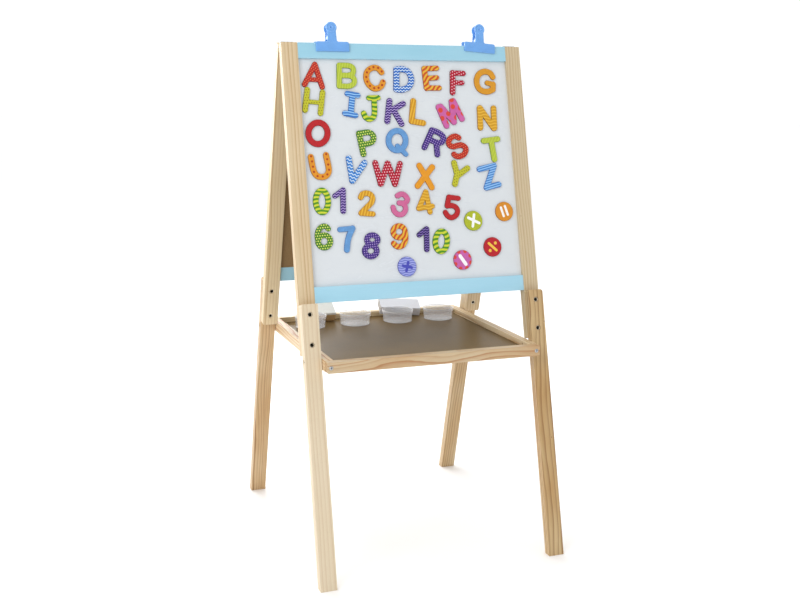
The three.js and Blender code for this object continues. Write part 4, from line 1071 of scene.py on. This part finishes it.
def m_dots(M, u, v, p, r, soft=0.35):
    row = M.math("FLOOR", M.math("DIVIDE", v, p))
    odd = M.math("ABSOLUTE", M.math("MODULO", row, 2.0))
    a = M.math("SUBTRACT", M.math("FRACT", M.math("ADD", M.math("DIVIDE", u, p), M.math("MULTIPLY", odd, 0.5))), 0.5)
    b = M.math("SUBTRACT", M.math("FRACT", M.math("DIVIDE", v, p)), 0.5)
    d = M.math("MULTIPLY", M.math("SQRT", M.math("ADD", M.math("MULTIPLY", a, a), M.math("MULTIPLY", b, b))), p)
    return M.fit(d, r - soft, r + soft, 1, 0)


def m_stripes(M, u, v, p, duty, ang, soft=0.12):
    ca, sa = math.cos(math.radians(ang)), math.sin(math.radians(ang))
    t = M.math("DIVIDE", M.math("ADD", M.math("MULTIPLY", u, -sa), M.math("MULTIPLY", v, ca)), p)
    tri = M.math("MULTIPLY", M.math("ABSOLUTE", M.math("SUBTRACT", M.math("FRACT", t), 0.5)), 2.0)
    return M.fit(tri, 1 - duty - soft, 1 - duty + soft, 0, 1)


def m_waves(M, u, v, p, duty, wl, amp, soft=0.10, tri_wave=False):
    if tri_wave:
        w = M.math("MULTIPLY", M.math("SUBTRACT", M.math("PINGPONG", M.math("DIVIDE", u, wl), 0.5), 0.25), 4 * amp)
    else:
        w = M.math("MULTIPLY", M.math("SINE", M.math("MULTIPLY", u, 2 * math.pi / wl)), amp)
    t = M.math("DIVIDE", M.math("ADD", v, w), p)
    tri = M.math("MULTIPLY", M.math("ABSOLUTE", M.math("SUBTRACT", M.math("FRACT", t), 0.5)), 2.0)
    return M.fit(tri, 1 - duty - soft, 1 - duty + soft, 0, 1)


def m_check(M, u, v, p, k):
    a = M.math("ABSOLUTE", M.math("SUBTRACT", M.math("FRACT", M.math("DIVIDE", u, p)), 0.5))
    b = M.math("ABSOLUTE", M.math("SUBTRACT", M.math("FRACT", M.math("DIVIDE", v, p)), 0.5))
    return M.fit(M.math("ADD", a, b), k - 0.06, k + 0.06, 1, 0)


# print: base, second colour, rim colour (a printed border that also serves as painted shade on the outline and the side
# walls), kind, numbers
PRINTS = {
    "red_dots": ((188, 34, 32), (230, 122, 70), (110, 18, 20), "dots", (5.0, 1.25)),
    "lime_lines": ((168, 192, 44), (214, 220, 96), (98, 122, 24), "stripes", (3.6, 0.45, 90)),
    "orange_spots": ((232, 154, 42), (164, 42, 20), (150, 92, 24), "spots", ()),
    "blue_waves": ((40, 108, 200), (226, 242, 254), (28, 70, 142), "waves", (6.4, 0.30, 7.4, 1.15)),
    "tiger": ((240, 188, 62), (194, 66, 24), (140, 56, 18), "waves45", (8.4, 0.5, 24.0, 1.1)),
    "crimson_dots": ((182, 14, 44), (246, 196, 208), (104, 6, 24), "dots", (5.9, 1.3)),
    "gold": ((226, 158, 40), (214, 142, 34), (150, 98, 22), "dots", (3.6, 0.8)),
    "lime_dots": ((200, 200, 48), (104, 66, 18), (126, 124, 24), "dots", (5.7, 1.05)),
    "blue_lines": ((56, 120, 204), (150, 200, 242), (36, 82, 152), "waves", (5.6, 0.42, 26.0, 0.5)),
    "blue_lines_z": ((62, 128, 208), (146, 194, 238), (40, 88, 160), "stripes", (5.0, 0.5, 14)),
    "green_stripes": ((82, 150, 34), (206, 212, 58), (48, 96, 24), "waves", (9.8, 0.5, 60.0, 5.0)),
    "green_stripes0": ((82, 150, 34), (206, 212, 58), (48, 96, 24), "waves", (8.4, 0.5, 58.0, 4.0)),
    "purple_waves": ((60, 28, 120), (200, 178, 236), (40, 18, 86), "waves", (5.6, 0.27, 8.0, 1.1)),
    "violet_waves": ((38, 18, 92), (156, 130, 210), (28, 12, 64), "waves", (5.2, 0.26, 7.4, 1.0)),
    "gold_lines": ((214, 150, 32), (240, 198, 70), (150, 102, 24), "stripes", (6.4, 0.45, 72)),
    "pink_spots": ((212, 104, 172), (212, 66, 38), (140, 60, 110), "spots", ()),
    "gold_waves": ((216, 158, 34), (238, 194, 74), (146, 98, 24), "waves", (6.6, 0.45, 24.0, 1.2)),
    "red_specks": ((196, 36, 42), (138, 16, 28), (104, 12, 20), "specks", (0.55,)),
    "green_dots": ((66, 130, 36), (224, 230, 110), (38, 84, 24), "dots", (5.4, 1.5)),
    "sky": ((104, 158, 216), (112, 166, 222), (62, 104, 160), "specks", (0.2,)),
    "sky_waves": ((66, 134, 214), (222, 240, 252), (36, 80, 146), "waves", (6.8, 0.28, 8.0, 1.2)),
    "purple_check": ((66, 42, 130), (188, 162, 226), (40, 22, 86), "check", (5.0, 0.27)),
    "amber": ((238, 160, 38), (228, 146, 34), (164, 100, 22), "specks", (0.4,)),
    "pink_mottle": ((216, 112, 160), (204, 86, 140), (146, 64, 104), "specks", (0.16,)),
}


def magnet_mat(name, pr, cx, cs, ang, spots, seed):
    base, second, rim_print_and_shade, kind, num = PRINTS[pr]
    M = Mat("print_" + name, Coat_Weight=0.06, Coat_Roughness=0.25, Specular_IOR_Level=0.32)
    P, u, v = uv_of(M, cx, cs, ang)
    if kind == "dots":
        k = m_dots(M, u, v, *num)
    elif kind == "stripes":
        k = m_stripes(M, u, v, *num)
    elif kind == "waves":
        k = m_waves(M, u, v, *num)
    elif kind == "waves45":
        ru = M.math("MULTIPLY", M.math("ADD", u, v), 0.7071)
        rvv = M.math("MULTIPLY", M.math("SUBTRACT", v, u), 0.7071)
        k = m_waves(M, ru, rvv, *num)
    elif kind == "check":
        k = m_check(M, u, v, *num)
    elif kind == "spots":
        k = None
        for (sx, ss) in spots[1]:
            d = M.vmath("LENGTH", M.comb(M.math("SUBTRACT", u, sx - cx), M.math("SUBTRACT", v, -(ss - cs)), 0.0))
            one = M.fit(d, spots[0] - 0.35, spots[0] + 0.35, 1, 0)
            k = one if k is None else M.math("MAXIMUM", k, one)
    else:
        k = M.fit(M.noise(P, num[0], 2.0, 0.6), 0.54, 0.66, 0, 0.8)
    base = tuple(v * 0.955 for v in base)
    soft = M.noise(P, 0.12, 3.0)
    c = M.mix(M.fit(soft, 0.35, 0.65), lin(base), mul(lin(base), 0.90))
    strength = {"lime_lines": 0.7, "red_dots": 0.9, "gold": 0.5, "gold_lines": 0.6, "gold_waves": 0.6}.get(pr, 0.95)
    c = M.mix(M.math("MULTIPLY", k, strength), c, lin(second))
    # dark outline near the face's edge: partly a printed border, partly painted shade where the rounded edge turns away
    # from the light
    at = M.new("ShaderNodeAttribute", attribute_name="rim")
    c = M.mix(M.fit(at.outputs["Fac"], 0.25, 0.8, 0.7, 0), c, lin(rim_print_and_shade))
    grain = M.noise(P, 1.8, 4.0, 0.7)
    scuff = M.noise(M.map(P, rot=(0.2, 0.9, 0.1), scale=(0.1, 1, 1.6)), 1.0, 3.0)
    c = M.mix(M.fit(scuff, 0.70, 0.82, 0, 0.25), c, mul(lin(base), 1.5))
    M.set("Base Color", c)
    M.set("Roughness", M.fit(grain, 0.3, 0.7, 0.36, 0.52))
    M.set("Normal", M.bump(grain, 0.10, 0.00015))
    # the side walls take the darker rim colour: partly the magnet's own edge colour, partly painted shade on the sides
    E = Mat("side_print_and_shade_" + name, Roughness=0.7)
    Pe = local_mm(E, "front")
    ne = E.noise(Pe, 1.5, 3.0)
    E.set("Base Color", E.mix(E.fit(ne, 0.3, 0.7), lin(rim_print_and_shade), mul(lin(rim_print_and_shade), 0.75)))
    E.set("Normal", E.bump(ne, 0.3, 0.0002))
    return M.m, E.m


ANG = {"H": 3, "I": -6, "M": 24, "E": 0, "W": 2, "P": 9, "R": -28, "T": 8, "K": 3, "n1": 0, "n8": 4, "n6": 3, "V": -20, "A": 40,
       "S": 20, "J": 12, "n0": 14, "n0b": 20, "n9": 12, "Y": 15, "F": 20}

for gi, (name, pr, strokes, spots) in enumerate(GLYPHS):
    lines = []
    for r, kind, pts in strokes:
        pts = [(x, -s) for x, s in pts]
        lines.append((r, catmull(pts, kind == 2) if kind else [np.array(p, float) for p in pts]))
    allp = np.array([p for _, l in lines for p in l])
    rm = max(r for r, _ in lines)
    lo, hi = allp.min(0) - rm - 1.5, allp.max(0) + rm + 1.5
    cx, cv = (lo + hi) / 2

    def sdf(X, Y, lines=lines):
        D = np.full(X.shape, -1e9)
        for r, l in lines:
            D = np.maximum(D, r - seg_dist(X, Y, l))
        return D
    vs, fs, kd, rd = sdf_plate(sdf, lo, hi, 0.75, MAG_T, 0.7)
    verts = [FR(-1, u, -v, MAG_D + w) for u, v, w in vs]
    mats = magnet_mat(name, pr, float(cx), float(-cv), ANG.get(name, 0), spots, gi)
    new_obj("magnet_" + name, verts, fs, list(mats), [0 if k == 0 else 1 for k in kd], True, "front_frame", 50, {"rim": rd})

DISC_PRINT = {
    "times": ((180, 190, 44), (192, 200, 60), (110, 120, 26), "specks", (0.5,), (246, 247, 248)),
    "equals": ((226, 148, 42), (216, 136, 38), (150, 92, 26), "dots", (4.2, 0.8), (248, 247, 244)),
    "divide": ((196, 34, 46), (150, 18, 32), (110, 14, 22), "specks", (0.5,), (240, 196, 70)),
    "minus": ((206, 104, 178), (210, 66, 38), (136, 56, 100), "edge", (), (248, 246, 248)),
    "plus": ((118, 128, 210), (168, 176, 232), (58, 62, 150), "waves", (5.0, 0.4, 16.0, 0.8), (66, 70, 178)),
}
for name, (cx, cs), R, bars, dots in DISCS:
    base, second, rim_print_and_shade, kind, num, ink = DISC_PRINT[name]
    PRINTS["disc_" + name] = (base, second, rim_print_and_shade, kind if kind != "edge" else "spots", num)
    spots = []
    if kind == "edge":
        spots = [4.4, [(cx + 19.8 * math.cos(0.35 + 2 * math.pi * i / 8), cs + 19.8 * math.sin(0.35 + 2 * math.pi * i / 8)) for i in range(8)]]
    mats = magnet_mat("disc_" + name, "disc_" + name, cx, cs, 0, spots, 50)
    vs, fs, kd, rd = sdf_plate(lambda X, Y: R - np.hypot(X - cx, Y + cs), (cx - R - 1.5, -cs - R - 1.5), (cx + R + 1.5, -cs + R + 1.5), 0.75, MAG_T, 0.7)
    new_obj("magnet_" + name, [FR(-1, u, -v, MAG_D + w) for u, v, w in vs], fs, list(mats), [0 if k == 0 else 1 for k in kd], True, "front_frame", 50, {"rim": rd})
    # the raised printed sign
    S = Mat("ink_" + name, Roughness=0.5)
    Ps = local_mm(S, "front")
    ns = S.noise(Ps, 1.2, 3.0)
    S.set("Base Color", S.mix(S.fit(ns, 0.3, 0.7), lin(ink), mul(lin(ink), 0.93)))
    S.set("Normal", S.bump(ns, 0.1, 0.0002))
    fat = 1.5 if name == "minus" else 1.2
    ls = [(w * fat, [np.array((a[0], -a[1])), np.array((b[0], -b[1]))]) for a, b, w in bars] + [(w * 1.1, [np.array((a[0], -a[1]))]) for a, w in dots]
    allp = np.array([p for _, l in ls for p in l])
    rm = max(w for w, _ in ls)

    def sdf2(X, Y, ls=ls):
        D = np.full(X.shape, -1e9)
        for w, l in ls:
            D = np.maximum(D, w - seg_dist(X, Y, l))
        return D
    vs, fs, kd, rd = sdf_plate(sdf2, allp.min(0) - rm - 1, allp.max(0) + rm + 1, 0.5, 0.45, 0.2)
    new_obj("magnet_%s_sign" % name, [FR(-1, u, -v, MAG_D + MAG_T - 0.25 + w) for u, v, w in vs], fs, [S.m], None, True, "front_frame", 50)


# ------------------------------------------------------------------ floor, light, world
def stage_floor():
    n = 96
    verts = [(0, 0, -0.0002)]
    faces = []
    R = 30.0
    for i in range(n):
        a = 2 * math.pi * i / n
        verts.append((R * math.cos(a), R * math.sin(a), -0.0002))
    for i in range(n):
        faces.append([0, 1 + i, 1 + (i + 1) % n])
    M = Mat("pale_floor", Roughness=0.6)
    P = local_mm(M, "row")
    nn = M.noise(P, 0.004, 4.0, 0.6)
    M.set("Base Color", M.mix(M.fit(nn, 0.3, 0.7), (0.995, 0.995, 0.995, 1), (0.985, 0.986, 0.988, 1)))
    o = new_obj("floor", verts, faces, [M.m], None, False)
    o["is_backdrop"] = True


stage_floor()

wd = bpy.data.worlds.new("studio")
bpy.context.scene.world = wd
wd.use_nodes = True
wt = wd.node_tree
bgn = wt.nodes["Background"]
bgn.inputs[0].default_value = (1.0, 1.0, 1.0, 1.0)
# a bright white sweep behind and above; softer towards the front right
wc = wt.nodes.new("ShaderNodeTexCoord")
ws = wt.nodes.new("ShaderNodeVectorMath"); ws.operation = "DOT_PRODUCT"
ws.inputs[1].default_value = Vector((-0.45, 0.80, 0.40)).normalized()
wt.links.new(wc.outputs["Generated"], ws.inputs[0])
wr = wt.nodes.new("ShaderNodeMapRange")
wr.interpolation_type = "SMOOTHSTEP"
for i_, v_ in enumerate((-0.95, 0.25, 0.52, 1.10)):
    wr.inputs[i_ + 1].default_value = v_
wt.links.new(ws.outputs["Value"], wr.inputs[0])
wt.links.new(wr.outputs[0], bgn.inputs[1])


def area(name, loc, target, size, power, col=(1, 1, 1)):
    ld = bpy.data.lights.new(name, "AREA")
    ld.shape = "RECTANGLE"
    ld.size, ld.size_y = size
    ld.energy = power
    ld.color = col
    lo_ = bpy.data.objects.new(name, ld)
    bpy.context.scene.collection.objects.link(lo_)
    lo_.visible_camera = False
    lo_.location = loc
    lo_.rotation_euler = (Vector(target) - Vector(loc)).to_track_quat("-Z", "Y").to_euler()


area("key", (-2.3, -1.7, 2.1), (0, 0, 0.6), (1.6, 1.6), 27, (1.0, 0.99, 0.97))
area("top", (-0.3, 1.6, 3.2), (0, 0.1, 0.5), (2.4, 2.4), 26)
area("back_low", (-0.5, 2.6, 1.1), (0, 0.1, 0.45), (2.4, 1.0), 30)

# ------------------------------------------------------------------ close
bpy.context.view_layer.update()
vlo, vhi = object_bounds()
{"cad": [list(CAD_LO), list(CAD_HI)], "visual": [list(vlo), list(vhi)]}
